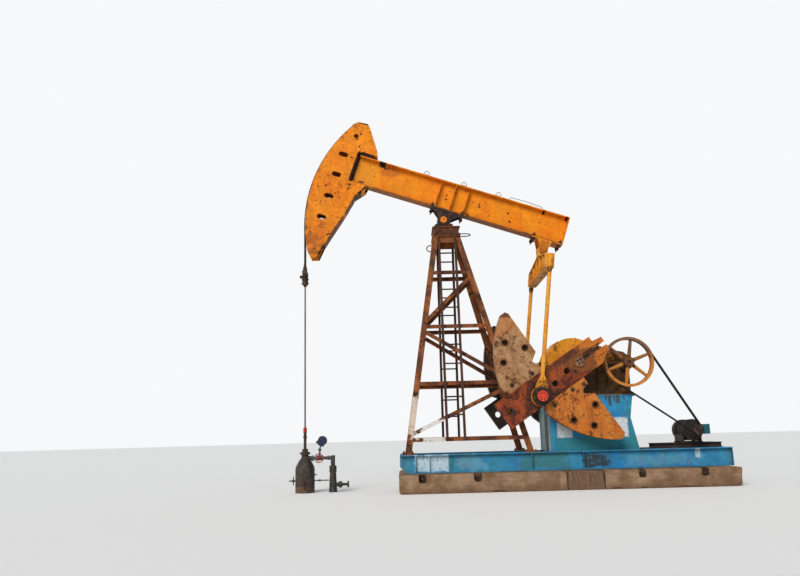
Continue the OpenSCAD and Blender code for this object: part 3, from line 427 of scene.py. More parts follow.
def seam_shade_strip(p, q, width, share, rag):
    """A dark strip of painted shade along an edge or seam of the horsehead, between two points of the beam's
    frame.
    """
    along = atan2(-(q[1] - p[1]), q[0] - p[0])
    middle = on_beam((p[0] + q[0]) / 2, (p[1] + q[1]) / 2)
    return (middle, (dist(p, q) / 2, 0.5, width), SHADE_AND_SOOT, share, rag, BEAM_TILT + along)


SLOT_U, SLOT_V = -2.6, (0.843, 0.349, -0.182, -0.689)
# Painted shade: the slots in the head are painted nearly black inside and round their rims.
slot_shades = [beam_stain_or_shade(SLOT_U, v, 0.112, 0.06, SHADE_AND_SOOT, 1.0, 0.04, 0.55) for v in SLOT_V]
# Painted shade along the head's seams and edges, and in the notch where the beam meets it.
head_seam_shades = [
    seam_shade_strip((-2.297, 0.3), (-2.297, 1.01), 0.012, 1.0, 0.1),
    seam_shade_strip((-2.3, 1.01), (-1.88, 1.01), 0.015, 1.0, 0.15),
    seam_shade_strip((-1.86, 0.3), (-2.05, -0.05), 0.03, 1.0, 0.25),
    seam_shade_strip((-2.05, -0.05), (-2.13, -0.47), 0.016, 0.9, 0.45),
    seam_shade_strip((-2.13, -0.47), (-2.34, -1.29), 0.018, 0.85, 0.6),
    seam_shade_strip((-2.33, -1.26), (-2.38, -1.6), 0.03, 1.0, 0.4),
    seam_shade_strip((-2.52, 1.7), (-2.25, 1.7), 0.045, 1.0, 0.5),
]
HEAD_RUST = (
    (-2.19, 7.76, 0.09, 0.1, RUST, 0.54, 1.9),
    (-2.77, 6.99, 0.06, 0.05, RUST, 0.58, 1.5),
    (-2.9, 6.69, 0.05, 0.06, RUST, 0.48, 1.8),
    (-3.01, 6.09, 0.05, 0.12, RUST, 0.54, 1.8),
    (-3.04, 5.65, 0.045, 0.06, SHADE_AND_SOOT, 0.58, 1.2),
    (-2.65, 5.7, 0.13, 0.06, RUST, 0.51, 2.0),
    (-2.85, 5.36, 0.13, 0.17, RUST, 0.58, 2.0),
    (-2.9, 5.1, 0.1, 0.06, BARE, 0.48, 1.8),
    (-1.92, 8.02, 0.12, 0.05, RUST, 0.41, 1.8),
)
rust_clusters = [
    round_stain_or_shade((x, -0.2, z), (half_x, 0.4, half_z), tint, share, rag)
    for x, z, half_x, half_z, tint, share, rag in HEAD_RUST
]
head_orange = painted(
    "orange_head_paint", ORANGE, (0.84, 0.26, 0.007), RUST, BARE,
    rust_share=0.34, edge=0.016, streaks=0.22, cracks=0.45, speckle=0.75,
    stains=[
        ((-2.8, -0.15, 5.35), (0.24, 0.4, 0.36), (0.36, 0.095, 0.015), 0.35, 2.0),
        beam_stain_or_shade(-2.461, 1.343, 0.056, 0.056, SHADE_AND_SOOT, 1.0, 0.05, 1.0),
        *rust_clusters,
        *slot_shades,
        *head_seam_shades,
    ],
)

# %% [markdown]
# ### Rust of the post
# The post has lost most of its paint. Here the same group is turned round: its
# "paint" is brown rust, and the blisters are darker bare steel.

# %% Post, ladder and sheave finishes
post_rust = painted(
    "post_rust", (0.078, 0.027, 0.015), (0.33, 0.105, 0.026), (0.065, 0.023, 0.013),
    (0.032, 0.016, 0.012), rust_share=0.5, pits=0.7, streaks=0.8, scale=1.3,
    stains=[
        ((-0.4, -0.67, 1.24), (0.26, 0.1, 0.16), (0.72, 0.7, 0.66), 0.9, 0.25),
        ((-0.37, -0.67, 1.01), (0.23, 0.06, 0.05), (0.7, 0.68, 0.64), 0.9, 0.25),
        ((-0.78, -0.66, 1.54), (0.14, 0.2, 0.44), (0.68, 0.58, 0.48), 0.8, 0.9),
        ((-0.9, -0.7, 0.84), (0.14, 0.15, 0.1), (0.03, 0.016, 0.012), 0.8, 0.6),
        ((0.05, -0.3, 5.15), (0.35, 0.2, 0.14), (0.34, 0.105, 0.03), 0.45, 1.0),
    ],
)
black_paint = painted(
    "black_paint", BLACK, WORN_BLACK, (0.12, 0.045, 0.02),
    BLACK_STEEL, rust_share=0.36, pits=0.5, edge=0.006, streaks=0.25,
)
ladder_paint = painted(
    "brown_ladder_paint", (0.03, 0.02, 0.017), (0.085, 0.04, 0.027), (0.14, 0.05, 0.022),
    BLACK_STEEL, rust_share=0.45, pits=0.5, edge=0.006, streaks=0.3,
)
sheave_paint = painted(
    "ochre_sheave_paint", (0.26, 0.105, 0.03), (0.38, 0.165, 0.048), (0.11, 0.04, 0.017),
    (0.03, 0.015, 0.01), rust_share=0.42, pits=0.6, edge=0.01, streaks=0.2, scale=1.6,
    stains=[
        ((FAST.x + 0.12, -0.71, FAST.z - 0.28), (0.62, 0.2, 0.34), (0.58, 0.22, 0.042), 0.7, 0.9),
        ((FAST.x + 0.1, -0.71, FAST.z + 0.42), (0.5, 0.2, 0.26), (0.13, 0.075, 0.055), 0.7, 0.8),
        ((FAST.x, -0.71, FAST.z), (0.13, 0.2, 0.13), (0.04, 0.02, 0.014), 0.85, 0.3),
    ],
)

# %% [markdown]
# ### Cranks and counterweights
# The near crank is a burnt red with a black, oily middle where grease from the
# shaft and the crank pin has run. Its outermost hole is painted dark for its nut
# and the shade inside it. The two near weights differ: the upper one is tan, the
# lower one orange. The far crank and weights are nearly black, partly dark paint
# and partly painted shade.

# %% Crank and weight finishes
# Oily black, which also paints the shade in the crank's outermost hole.
OIL_AND_SHADE = (0.03, 0.017, 0.014)
UPPER_AT, LOWER_AT = 0.585, 0.121
WEIGHT_POCKETS = ((0.14, 0.85), (0.67, 0.85), (0.405, 1.16))


def pocket_halos(at, sign):
    """Rust that has crept out round the pockets of one weight."""
    return [
        round_stain_or_shade(on_crank(at + s, sign * t), (0.084, 0.3, 0.084), (0.1, 0.036, 0.018), 0.75, 0.3)
        for s, t in WEIGHT_POCKETS
    ]


crank_red = painted(
    "burnt_red_crank_paint", (0.225, 0.038, 0.013), (0.35, 0.08, 0.02), (0.1, 0.027, 0.014),
    (0.045, 0.018, 0.014), rust_share=0.56, edge=0.018, streaks=0.7, cracks=0.6, speckle=1.1, scale=1.3,
    stains=[
        ((2.8, -1.0, 2.72), (0.46, 0.3, 0.4), (0.58, 0.175, 0.026), 0.75, 1.5),
        ((2.1, -1.0, 2.42), (0.6, 0.3, 0.06), (0.1, 0.03, 0.02), 0.7, 0.8, CRANK_TILT),
        # Painted shade and a dark nut: the outermost hole of the crank is painted dark.
        round_stain_or_shade(on_crank(1.721, 0), (0.105, 0.3, 0.105), OIL_AND_SHADE, 0.75, 0.3),
        ((SLOW.x, -1.0, SLOW.z), (0.3, 0.3, 0.26), OIL_AND_SHADE, 0.7, 0.7),
        ((PIN.x, -1.0, PIN.z), (0.27, 0.3, 0.27), OIL_AND_SHADE, 0.85, 0.6),
        ((PIN.x + 0.26, -1.0, PIN.z + 0.06), (0.34, 0.3, 0.12), OIL_AND_SHADE, 0.7, 0.9),
        (on_crank(-0.34, -0.055, -0.9), (0.21, 0.107, 0.042), SHADE_AND_SOOT, 0.9, 0.1, CRANK_TILT),
    ],
)
weight_tan = painted(
    "tan_weight_paint", (0.36, 0.18, 0.08), (0.48, 0.29, 0.145), (0.19, 0.075, 0.028),
    (0.07, 0.03, 0.018), rust_share=0.47, edge=0.02, streaks=0.5, cracks=1.0, speckle=0.8, scale=1.7,
    stains=[
        ((1.13, -0.9, 3.26), (0.23, 0.3, 0.2), (0.42, 0.15, 0.04), 0.6, 1.5),
        ((1.15, -0.9, 3.46), (0.15, 0.3, 0.07), (0.11, 0.036, 0.018), 0.9, 0.5),
        ((2.0, -0.9, 2.45), (0.3, 0.3, 0.3), (0.34, 0.13, 0.045), 0.55, 0.8),
        *pocket_halos(UPPER_AT, -1),
    ],
)
weight_orange = painted(
    "orange_weight_paint", (0.52, 0.15, 0.02), (0.6, 0.215, 0.038), (0.19, 0.052, 0.018),
    (0.055, 0.022, 0.014), rust_share=0.46, edge=0.02, streaks=0.7, cracks=0.9, speckle=0.9, scale=1.5,
    stains=pocket_halos(LOWER_AT, 1),
)
# The far crank and weights stand in shade: their near black is partly dark paint and partly painted shade.
far_black = painted(
    "far_weight_black", (0.026, 0.02, 0.018), (0.05, 0.034, 0.027), (0.1, 0.04, 0.02),
    BLACK_STEEL, rust_share=0.34, pits=0.5, edge=0.01, streaks=0.3,
)
pitman_yellow = painted(
    "yellow_pitman_paint", (0.74, 0.27, 0.02), (0.82, 0.38, 0.04), (0.22, 0.06, 0.018),
    (0.05, 0.02, 0.012), rust_share=0.32, pits=0.8, edge=0.008, streaks=0.35, scale=2.0,
    stains=[
        round_stain_or_shade((PIN.x + 0.01, 0.0, PIN.z - 0.03), (0.24, 1.3, 0.2), (0.15, 0.045, 0.016), 0.75, 0.9),
        ((PIN.x + 0.03, 0.0, PIN.z + 0.22), (0.16, 1.3, 0.1), SHADE_AND_SOOT, 0.7, 0.6),
        ((TAIL.x - 0.09, 0.0, TAIL.z - 0.67), (0.08, 1.3, 0.06), SHADE_AND_SOOT, 0.85, 0.3),
    ],
)

# %% [markdown]
# ### Blue skid and pedestal
# The skid and the pedestal are two blues over each other with brushed whitewash
# where a plate once was. Each light patch is a stained place with its own box.
# The pedestal's left end lies in shade and is painted lighter, and a nearly black
# patch on the skid below the pedestal is partly rust and partly painted shade.

# %% Skid and pedestal finishes
WHITEWASH = (0.66, 0.68, 0.66)
TEAL = (0.03, 0.185, 0.205)
PALE_TEAL = (0.68, 0.86, 0.78)
OIL_BROWN = (0.055, 0.042, 0.03)
DRIPS = (
    (3.13, 0.022, 0.1), (3.21, 0.034, 0.22), (3.3, 0.018, 0.13), (3.37, 0.04, 0.17), (3.5, 0.016, 0.09),
)
skid_blue = painted(
    "blue_skid_paint", (0.026, 0.225, 0.48), (0.045, 0.275, 0.43), (0.13, 0.06, 0.035),
    (0.04, 0.025, 0.02), rust_share=0.33, pits=0.6, streaks=0.3, scale=1.2,
    stains=[
        ((-0.45, -0.7, 0.55), (0.33, 0.2, 0.16), (0.5, 0.63, 0.7), 0.95, 0.25),
        ((-0.06, -0.7, 0.55), (0.05, 0.2, 0.16), (0.03, 0.16, 0.17), 0.8, 0.5),
        ((0.35, -0.7, 0.55), (0.28, 0.2, 0.14), (0.25, 0.42, 0.5), 0.3, 0.9),
        ((1.75, -0.7, 0.55), (0.42, 0.2, 0.17), (0.05, 0.175, 0.165), 0.75, 0.8),
        # The nearly black patch on the skid below the pedestal is partly rust and partly painted shade.
        ((2.83, -0.7, 0.52), (0.26, 0.2, 0.13), (0.035, 0.02, 0.015), 0.85, 0.5),
        ((4.1, -0.7, 0.5), (0.7, 0.2, 0.1), (0.2, 0.38, 0.48), 0.25, 1.2),
        ((4.84, -0.7, 0.62), (0.05, 0.2, 0.09), (0.45, 0.55, 0.58), 0.85, 0.2),
    ],
)
pedestal_blue = painted(
    "teal_pedestal_paint", (0.02, 0.25, 0.56), (0.04, 0.3, 0.5), (0.11, 0.055, 0.035),
    (0.03, 0.02, 0.017), rust_share=0.3, pits=0.5, streaks=0.35, scale=1.2,
    stains=[
        # Painted light: the left end face lies in shade, so these lighten it with a grey-teal ground and
        # pale stripes over the pale stripes it really has. The dark band is painted shade in a gap.
        ((1.975, 0.0, 1.2), (0.012, 0.56, 0.62), (0.3, 0.48, 0.46), 0.85, 1.0),
        ((1.975, -0.42, 1.25), (0.02, 0.05, 0.6), PALE_TEAL, 1.0, 0.25),
        ((1.975, 0.2, 1.25), (0.02, 0.15, 0.6), PALE_TEAL, 0.9, 0.35),
        ((1.975, -0.14, 1.08), (0.02, 0.12, 0.4), (0.02, 0.03, 0.03), 0.85, 0.3),
        ((2.9, -0.6, 0.84), (0.9, 0.08, 0.16), TEAL, 0.9, 0.4),
        ((3.62, -0.6, 1.2), (0.1, 0.08, 0.5), TEAL, 0.8, 0.7),
        ((2.25, -0.6, 1.13), (0.15, 0.05, 0.15), WHITEWASH, 0.9, 0.12),
        ((3.38, -0.6, 1.16), (0.15, 0.05, 0.19), WHITEWASH, 0.9, 0.1),
        *[((x, -0.6, 1.8), (half, 0.05, run), OIL_BROWN, 0.85, 0.35) for x, half, run in DRIPS],
    ],
)

# %% [markdown]
# ### Oily iron
# Castings that nobody paints grow a brown-black skin of grease and dust. It is
# glossier where the grease is fresh, so one noise drives colour and roughness
# in opposite directions.


# %% Iron finishes
def oily_iron(name, dark, brown, share=0.5, stains=()):
    tree, shader, material = new_material(name)
    crust = remap(tree, speckle(tree, 9.0, 8.0, 0.7), 0.62 - 0.3 * share, 0.78 - 0.3 * share)
    grain = speckle(tree, 60.0, 3.0, 0.6)
    worn = place_effect(tree, EDGE, width=0.008)["Mask"]
    colour = mix(tree, crust, dark, brown)
    colour = mix(tree, times(tree, worn, 0.5), colour, (0.28, 0.2, 0.15))
    roughness = remap(tree, crust, 0.0, 1.0, 0.38, 0.85)
    surface(tree, shader, stained(tree, colour, stains), roughness, maths(tree, "ADD", crust, grain))
    return material


iron = oily_iron("oily_iron", (0.022, 0.016, 0.013), (0.1, 0.05, 0.028))
NUT_RED = (0.62, 0.06, 0.03)
wrist_iron = oily_iron(
    "greasy_wrist_iron", (0.024, 0.014, 0.012), (0.085, 0.035, 0.02), 0.4,
    [
        round_stain_or_shade((PIN.x, side * 1.27, PIN.z), (0.12, 0.1, 0.12), NUT_RED, 1.0, 0.03)
        for side in SIDES
    ],
)
WHEEL_RED = (0.3, 0.025, 0.02)
well_iron = oily_iron(
    "well_iron", (0.032, 0.028, 0.025), (0.078, 0.064, 0.053), 0.6,
    [
        ((-3.03, -0.35, 0.215), (0.11, 0.11, 0.11), (0.11, 0.03, 0.022), 0.65, 0.8),
        ((-3.36, 0.0, 0.24), (0.09, 0.12, 0.14), (0.1, 0.03, 0.022), 0.9, 0.3),
        ((-3.06, 0.0, 0.06), (0.25, 0.25, 0.07), (0.17, 0.085, 0.045), 0.7, 0.8),
    ],
)
valve_paint = oily_iron(
    "valve_grey_paint", (0.06, 0.075, 0.07), (0.12, 0.1, 0.075), 0.5,
    [
        ((-2.68, -0.19, 0.69), (0.14, 0.075, 0.14), WHEEL_RED, 1.0, 0.02),
        ((-2.66, 0.0, 1.04), (0.14, 0.3, 0.14), (0.014, 0.026, 0.06), 0.95, 0.15),
    ],
)
motor_paint = painted(
    "motor_black_paint", BLACK, WORN_BLACK, (0.1, 0.04, 0.02),
    BLACK_STEEL, rust_share=0.36, pits=0.5, edge=0.006, streaks=0.25,
    stains=[((5.2, -0.115, 1.08), (0.125, 0.16, 0.12), (0.015, 0.115, 0.14), 0.9, 0.15)],
)
gland_red = painted(
    "red_gland_paint", (0.034, 0.028, 0.022), (0.06, 0.042, 0.032), (0.11, 0.04, 0.02),
    (0.03, 0.014, 0.01), rust_share=0.35, pits=0.5, edge=0.005, streaks=0.3, scale=4.0,
    stains=[((-3.06, 0.0, 1.31), (0.2, 0.2, 0.085), (0.4, 0.035, 0.022), 1.0, 0.05)],
)
reducer_iron = oily_iron(
    "brown_reducer_iron", (0.042, 0.025, 0.011), (0.145, 0.064, 0.017), 0.58,
    [((2.9, -0.5, 1.812), (1.3, 0.4, 0.014), (0.2, 0.17, 0.13), 0.8, 0.04)],
)
# Painted shade: near-black dots on each end of the slow shaft stand for the shade in its four holes.
SHAFT_HOLE_RING = 0.048
shaft_hole_shades = [
    (SLOW.x + SHAFT_HOLE_RING * cos(a), side * 1.03, SLOW.z - SHAFT_HOLE_RING * sin(a))
    for a in (radians(90 * k + 20) for k in range(4)) for side in SIDES
]
shaft_iron = oily_iron(
    "rusty_shaft_iron", (0.15, 0.075, 0.045), (0.3, 0.17, 0.1), 0.5,
    [round_stain_or_shade(at, (0.021, 0.05, 0.021), SHADE_AND_SOOT, 1.0, 0.0) for at in shaft_hole_shades],
)
cover_paint = painted(
    "reducer_cover_paint", (0.78, 0.27, 0.018), (0.85, 0.37, 0.03), (0.16, 0.05, 0.02),
    (0.04, 0.018, 0.012), rust_share=0.4, pits=0.7, streaks=0.5, scale=1.4,
    stains=[
        ((2.21, -0.4, 2.86), (0.035, 0.3, 0.13), (0.14, 0.04, 0.012), 0.7, 0.7),
        ((3.45, 0.0, 2.7), (0.48, 0.6, 0.5), (0.045, 0.026, 0.012), 0.9, 0.5),
    ],
)
saddle_iron = oily_iron(
    "saddle_iron", (0.02, 0.012, 0.01), (0.11, 0.042, 0.018), 0.42,
    [
        round_stain_or_shade((0, 0, SADDLE.z), (0.075, 2.0, 0.075), (0.76, 0.22, 0.02), 1.0, 0.04),
        round_stain_or_shade((0, 0, SADDLE.z), (0.02, 2.0, 0.02), (0.1, 0.03, 0.012), 1.0, 0.05),
    ],
)

# %% [markdown]
# ### Bright rod, greased rope and rubber
# The polished rod is the only bare steel, and a film of oil darkens it at every stroke.
# The rope is black with grease, and the belts are rubber under grey dust.

# %% Rod, rope and rubber
tree, shader, rod_steel = new_material("polished_rod_steel")
oil_film = speckle(tree, 6.0, 4.0, 0.6, (8.0, 8.0, 0.4))
colour = mix(tree, oil_film, (0.1, 0.085, 0.075), (0.26, 0.24, 0.22))
surface(tree, shader, colour, remap(tree, oil_film, 0.3, 0.7, 0.16, 0.34))
shader.inputs["Metallic"].default_value = 1.0
shader.inputs["Specular IOR Level"].default_value = 0.5

tree, shader, rope_black = new_material("greased_rope")
grease = speckle(tree, 30.0, 5.0, 0.65)
colour = mix(tree, grease, (0.012, 0.01, 0.009), (0.075, 0.055, 0.042))
surface(tree, shader, colour, remap(tree, grease, 0.3, 0.7, 0.35, 0.7), grease, 0.001)

tree, shader, belt_rubber = new_material("belt_rubber")
dusty = speckle(tree, 18.0, 5.0, 0.6)
colour = mix(tree, dusty, (0.012, 0.012, 0.012), (0.05, 0.046, 0.042))
surface(tree, shader, colour, 0.72, dusty, 0.0006)

# %% [markdown]
# ### Concrete and timber
# The blocks were cast in rough boards and have soaked up mud, so their brown
# deepens towards their foot. The packing is sawn timber with upright grain.

# %% Concrete and timber
tree, shader, concrete = new_material("weathered_concrete")
place = add(tree, "ShaderNodeSeparateXYZ")
feed(tree, metres(tree), place.inputs[0])
blotch = speckle(tree, 2.6, 9.0, 0.72)
sand = speckle(tree, 70.0, 4.0, 0.7)
mud = remap(tree, maths(tree, "ADD", place.outputs["Z"], times(tree, blotch, 0.35)), 0.42, 0.16)
colour = mix(tree, remap(tree, blotch, 0.36, 0.66), (0.185, 0.1, 0.052), (0.36, 0.235, 0.145))
colour = mix(tree, times(tree, mud, 0.75), colour, (0.155, 0.085, 0.05))
colour = mix(tree, 0.4, colour, mix(tree, sand, (0.5, 0.5, 0.5), (1.4, 1.4, 1.4)), "MULTIPLY")
boards = remap(tree, speckle(tree, 5.0, 3.0, 0.5, (0.25, 0.25, 5.0)), 0.35, 0.65)
colour = mix(tree, times(tree, boards, 0.25), colour, (0.1, 0.065, 0.045))
# Painted shade: the insides of the pockets in the blocks' tops are painted nearly black.
pockets = [(x, side * 1.1, 0.285) for x in (-0.655, 0.409, 3.555, 4.755) for side in SIDES]
colour = stained(tree, colour, [(at, (0.072, 0.085, 0.085), SHADE_AND_SOOT, 0.9, 0.0) for at in pockets])
surface(tree, shader, colour, 0.93, maths(tree, "ADD", blotch, sand), 0.006, 0.8)

tree, shader, timber = new_material("packing_timber")
grain = speckle(tree, 14.0, 9.0, 0.7, (6.0, 6.0, 0.25), 0.5)
colour = mix(tree, remap(tree, grain, 0.35, 0.65), (0.075, 0.042, 0.026), (0.21, 0.128, 0.078))
colour = mix(tree, remap(tree, speckle(tree, 3.0, 4.0, 0.6), 0.5, 0.7), colour, (0.12, 0.085, 0.06))
surface(tree, shader, colour, 0.88, grain, 0.004, 0.8)

# %% [markdown]
# ## Dressing the solids
# Every solid of the frame keeps its shape and gets its finish here. A solid is
# found by its name, so a finish stays right when model.glb is made again.

# %% Finish of each solid
FINISH = {
    concrete: ["foundation_blocks"],
    timber: ["timber_packing"],
    skid_blue: ["skid_beams", "skid_cross_members"],
    pedestal_blue: ["reducer_pedestal"],
    post_rust: ["post_legs", "post_side_braces", "post_cross_braces", "post_cap"],
    black_paint: ["motor_rails"],
    ladder_paint: ["ladder_near", "ladder_far"],
    motor_paint: ["motor_body"],
    saddle_iron: ["saddle_pillow_blocks", "saddle_bracket"],
    reducer_iron: ["reducer_housing"],
    cover_paint: ["reducer_cover"],
    belt_rubber: ["drive_belts"],
    well_iron: ["casing_head", "flow_riser", "casing_valves"],
    valve_paint: ["flow_arm"],
    gland_red: ["stuffing_box"],
    shaft_iron: ["slow_shaft"],
    iron: ["input_shaft", "brake_drum", "motor_pulley", "carrier_bar"],
    crank_red: ["crank_near"],
    weight_tan: ["weight_near_upper"],
    weight_orange: ["weight_near_lower"],
    far_black: ["crank_far", "weight_far_upper", "weight_far_lower"],
    sheave_paint: ["sheave"],
    beam_orange: ["walking_beam", "tail_bracket", "beam_rail"],
    head_orange: ["horsehead"],
    pitman_yellow: ["equalizer", "pitmans"],
    wrist_iron: ["wrist_bearings"],
    rod_steel: ["polished_rod"],
    rope_black: ["bridle_wrap", "bridle_drop"],
}
for material, names in FINISH.items():
    for name in names:
        mesh = frame["nodes"][name].data
        mesh.materials.clear()
        mesh.materials.append(material)
finished = {name for names in FINISH.values() for name in names}
print("solids without a finish:", sorted(set(frame["nodes"]) - finished))

# %% [markdown]
# ## Small parts
# Bolts, nuts and clips are true to scale and made in mesh code. Many bolts of
# one kind become one mesh, because they never move against each other.


def stand(name, data):
    """An object in the scene that shows this data."""
    obj = bpy.data.objects.new(name, data)
    bpy.context.scene.collection.objects.link(obj)
    return obj


def soften(mesh, sharp_from=None):
    """Smooth shading, but not over edges sharper than an angle."""
    for polygon in mesh.polygons:
        polygon.use_smooth = True
    if sharp_from:
        mesh.set_sharp_from_angle(angle=radians(sharp_from))


def build(name, mesh_maker, material, body):
    """Makes one object from a function that fills a bmesh, and fixes it to a body."""
    bm = bmesh.new()
    mesh_maker(bm)
    bmesh.ops.recalc_face_normals(bm, faces=bm.faces)
    mesh = bpy.data.meshes.new(name)
    bm.to_mesh(mesh)
    bm.free()
    mesh.materials.append(material)
    obj = stand(name, mesh)
    soften(mesh, 32)
    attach(obj, body)
    print(name, len(mesh.polygons), "faces, on", body)
    return obj


def skin(bm, rings, closed=False):
    """Faces from ring to ring, and a lid at each open end."""
    pairs = list(zip(rings, rings[1:])) + ([(rings[-1], rings[0])] if closed else [])
    for low, high in pairs:
        for i in range(len(low)):
            j = (i + 1) % len(low)
            bm.faces.new((low[i], low[j], high[j], high[i]))
    if not closed:
        bm.faces.new(rings[0][::-1])
        bm.faces.new(rings[-1])


def turned(bm, place, profile, sides=24, turn=0.0):
    """A solid of revolution round local Z from (radius, height) pairs."""
    angles = [2 * pi * i / sides + turn for i in range(sides)]
    skin(bm, [
        [bm.verts.new(place @ Vector((radius * cos(a), radius * sin(a), z))) for a in angles]
        for radius, z in profile
    ])


def plate(bm, place, size, chamfer=0.003):
    """A block with softened edges, centred on a place."""
    # The bevel runs by itself, since it leaves gaps in a mesh that later solids fill in no fixed order.
    block = bmesh.new()
    bmesh.ops.create_cube(block, size=1.0, matrix=place @ Matrix.Diagonal((*size, 1)))
    bmesh.ops.bevel(block, geom=block.edges[:], offset=chamfer, segments=1, affect="EDGES")
    twin = {v: bm.verts.new(v.co) for v in block.verts}
    for face in block.faces:
        bm.faces.new([twin[v] for v in face.verts])
    block.free()


def tube(bm, points, radius, sides=8, closed=False):
    """A round bar through a list of points."""
    angles = [2 * pi * k / sides for k in range(sides)]
    rings = []
    count = len(points)
    side = None
    for i, point in enumerate(points):
        before = points[i - 1] if (closed or i) else point
        after = points[(i + 1) % count] if (closed or i < count - 1) else point
        along = (after - before).normalized()
        if side is None:
            side = along.orthogonal().normalized()
        side = (side - along * side.dot(along)).normalized()
        up = along.cross(side)
        rings.append([bm.verts.new(point + radius * (side * cos(a) + up * sin(a))) for a in angles])
    skin(bm, rings, closed)


def pointing(point, direction):
    """A frame at a point whose Z runs along a direction."""
    return Matrix.Translation(point) @ Vector(direction).to_track_quat("Z", "Y").to_matrix().to_4x4()


# %% [markdown]
# ### Bolts
# A real bolt shows a washer, a chamfered hexagon and the end of its thread, so
# that is what the mesh has. Each is turned by its own angle, as no fitter lines
# them up.

# %% Bolt maker
rng = random.Random(7)


def bolt(bm, place, across):
    """A washer, a chamfered hexagon and a thread's end, sized by the hexagon's width."""
    def part(profile, sides, turn=0.0):
        turned(bm, place, [(across * r, across * z) for r, z in profile], sides, turn)
    corner_r = 0.5 / cos(pi / 6)
    part([(0.95, 0), (0.95, 0.14)], 18)
    part([(corner_r, 0.14), (corner_r, 0.62), (corner_r * 0.86, 0.74)], 6, rng.uniform(0, 1))
    part([(0.28, 0.7), (0.28, 1.0), (0.22, 1.05)], 12)


def bolts(name, body, places, across, material):
    def fill(bm):
        for point, direction in places:
            bolt(bm, pointing(point, direction), across)
    print(name, len(places), "bolts")
    build(name, fill, material, body)


# %% [markdown]
# ### Saddle and tail clamps
# The brackets are held to the beam's lower flange by hook clamps, one pair at
# each end. A clamp is a short bar over the flange's edge with a long stud.

# %% Clamps under the beam
BEAM_SEAT = 0.292
BEAM_HALF_W = 0.13
STUD_R, STUD_DROP = 0.011, 0.13
HOOK, PAD = (0.085, 0.075, 0.034), (0.07, 0.05, 0.03)


def clamps(name, along):
    def fill(bm):
        down = BEAM_FRAME.to_3x3() @ Vector((0, 0, -1))
        for u in along:
            for side in SIDES:
                y = side * (BEAM_HALF_W + 0.005)
                stud_y = y + side * 0.012
                plate(bm, inside(BEAM_FRAME, u, y - side * 0.02, BEAM_SEAT - 0.055), HOOK, 0.005)
                plate(bm, inside(BEAM_FRAME, u, y - side * 0.01, BEAM_SEAT + 0.042), PAD, 0.005)
                stud = [(STUD_R, 0), (STUD_R, STUD_DROP + 0.09)]
                turned(bm, inside(BEAM_FRAME, u, stud_y, BEAM_SEAT - STUD_DROP), stud, 12)
                nut_at = BEAM_FRAME @ Vector((u, stud_y, BEAM_SEAT - 0.072))
                bolt(bm, pointing(nut_at, down), 0.036)
    build(name, fill, saddle_iron, "beam")


clamps("saddle_clamps", (-0.345, 0.345))
clamps("tail_clamps", (1.985, 2.575))

# %% [markdown]
# ### Bolted joints of the reducer, the bearings and the flanges
# The split flange of a gear case is bolted every few inches, and a pipe flange
# has its bolts on a circle. Both patterns are loops over even spacings.

# %% Bolts on the reducer and the bearings
UPWARD = (0, 0, 1)
low, high = (Vector(c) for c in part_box("reducer_cover"))
SPLIT_TOP = SLOW.z + 0.03
row = [low.x + 0.05 + i * (high.x - low.x - 0.1) / 11 for i in range(12)]
clear = [x for x in row if abs(x - SLOW.x) > 0.27 and abs(x - FAST.x) > 0.17]
split_bolts = [((x, side * 0.452, SPLIT_TOP), UPWARD) for side in SIDES for x in clear]
bolts("reducer_split_bolts", "base", split_bolts, 0.034, iron)
cap_bolts = [
    ((centre.x + ring * cos(a), side * 0.53, centre.z + ring * sin(a)), (0, side, 0))
    for side in SIDES for centre, ring in ((SLOW, 0.215), (FAST, 0.125))
    for a in (radians(22.5 + 45 * k) for k in range(8))
]
bolts("bearing_cap_bolts", "base", cap_bolts, 0.026, iron)
base_bolts = [
    ((x, side * y, SADDLE.z - 0.11), UPWARD) for x in (-0.17, 0.17) for side in SIDES for y in (0.19, 0.26)
]
bolts("saddle_base_bolts", "base", base_bolts, 0.036, saddle_iron)
FOOT_X, FOOT_Y, FOOT_TOP = (-0.908, 1.53), 0.74, 0.74
foot_bolts = [
    ((x + dx, side * FOOT_Y, FOOT_TOP), UPWARD) for x in FOOT_X for dx in (-0.09, 0.09) for side in SIDES
]
bolts("post_foot_bolts", "base", foot_bolts, 0.036, post_rust)

# %% [markdown]
# ### Castle nuts and straps on the crank pins
# A castle nut locks each crank pin, and its red paint is the brightest spot of
# the machine. The slots are made by standing teeth round the nut's end. Small
# bolts ring each bearing's cap, and a thin strap runs round it to the fork.

# %% Crank pin nuts
NUT_FACE, RING_FACE = 1.296, 1.184


def round_pin(turns, radius, y):
    """A place beside the crank pin, a share of a turn round it."""
    return inside(PIN_FRAME @ Matrix.Rotation(2 * pi * turns, 4, "Y"), radius, y, 0)


def castle(bm):
    for side in SIDES:
        for k in range(8):
            plate(bm, round_pin(k / 8, 0.081, side * (NUT_FACE + 0.011)), (0.04, 0.024, 0.04), 0.004)


def ring_bolts(bm):
    for side in SIDES:
        outward = Matrix.Rotation(radians(-90 * side), 4, "X")
        for k in range(6):
            bolt(bm, round_pin((k + 0.5) / 6, 0.125, side * RING_FACE) @ outward, 0.02)


nut_red = painted(
    "bright_red_nut_paint", (0.68, 0.055, 0.03), (0.74, 0.12, 0.06), (0.2, 0.03, 0.02),
    (0.05, 0.02, 0.015), rust_share=0.25, pits=0.4, edge=0.003, streaks=0.1, scale=6.0,
)
build("crank_pin_nuts", castle, nut_red, "pitman")
build("wrist_ring_bolts", ring_bolts, iron, "pitman")


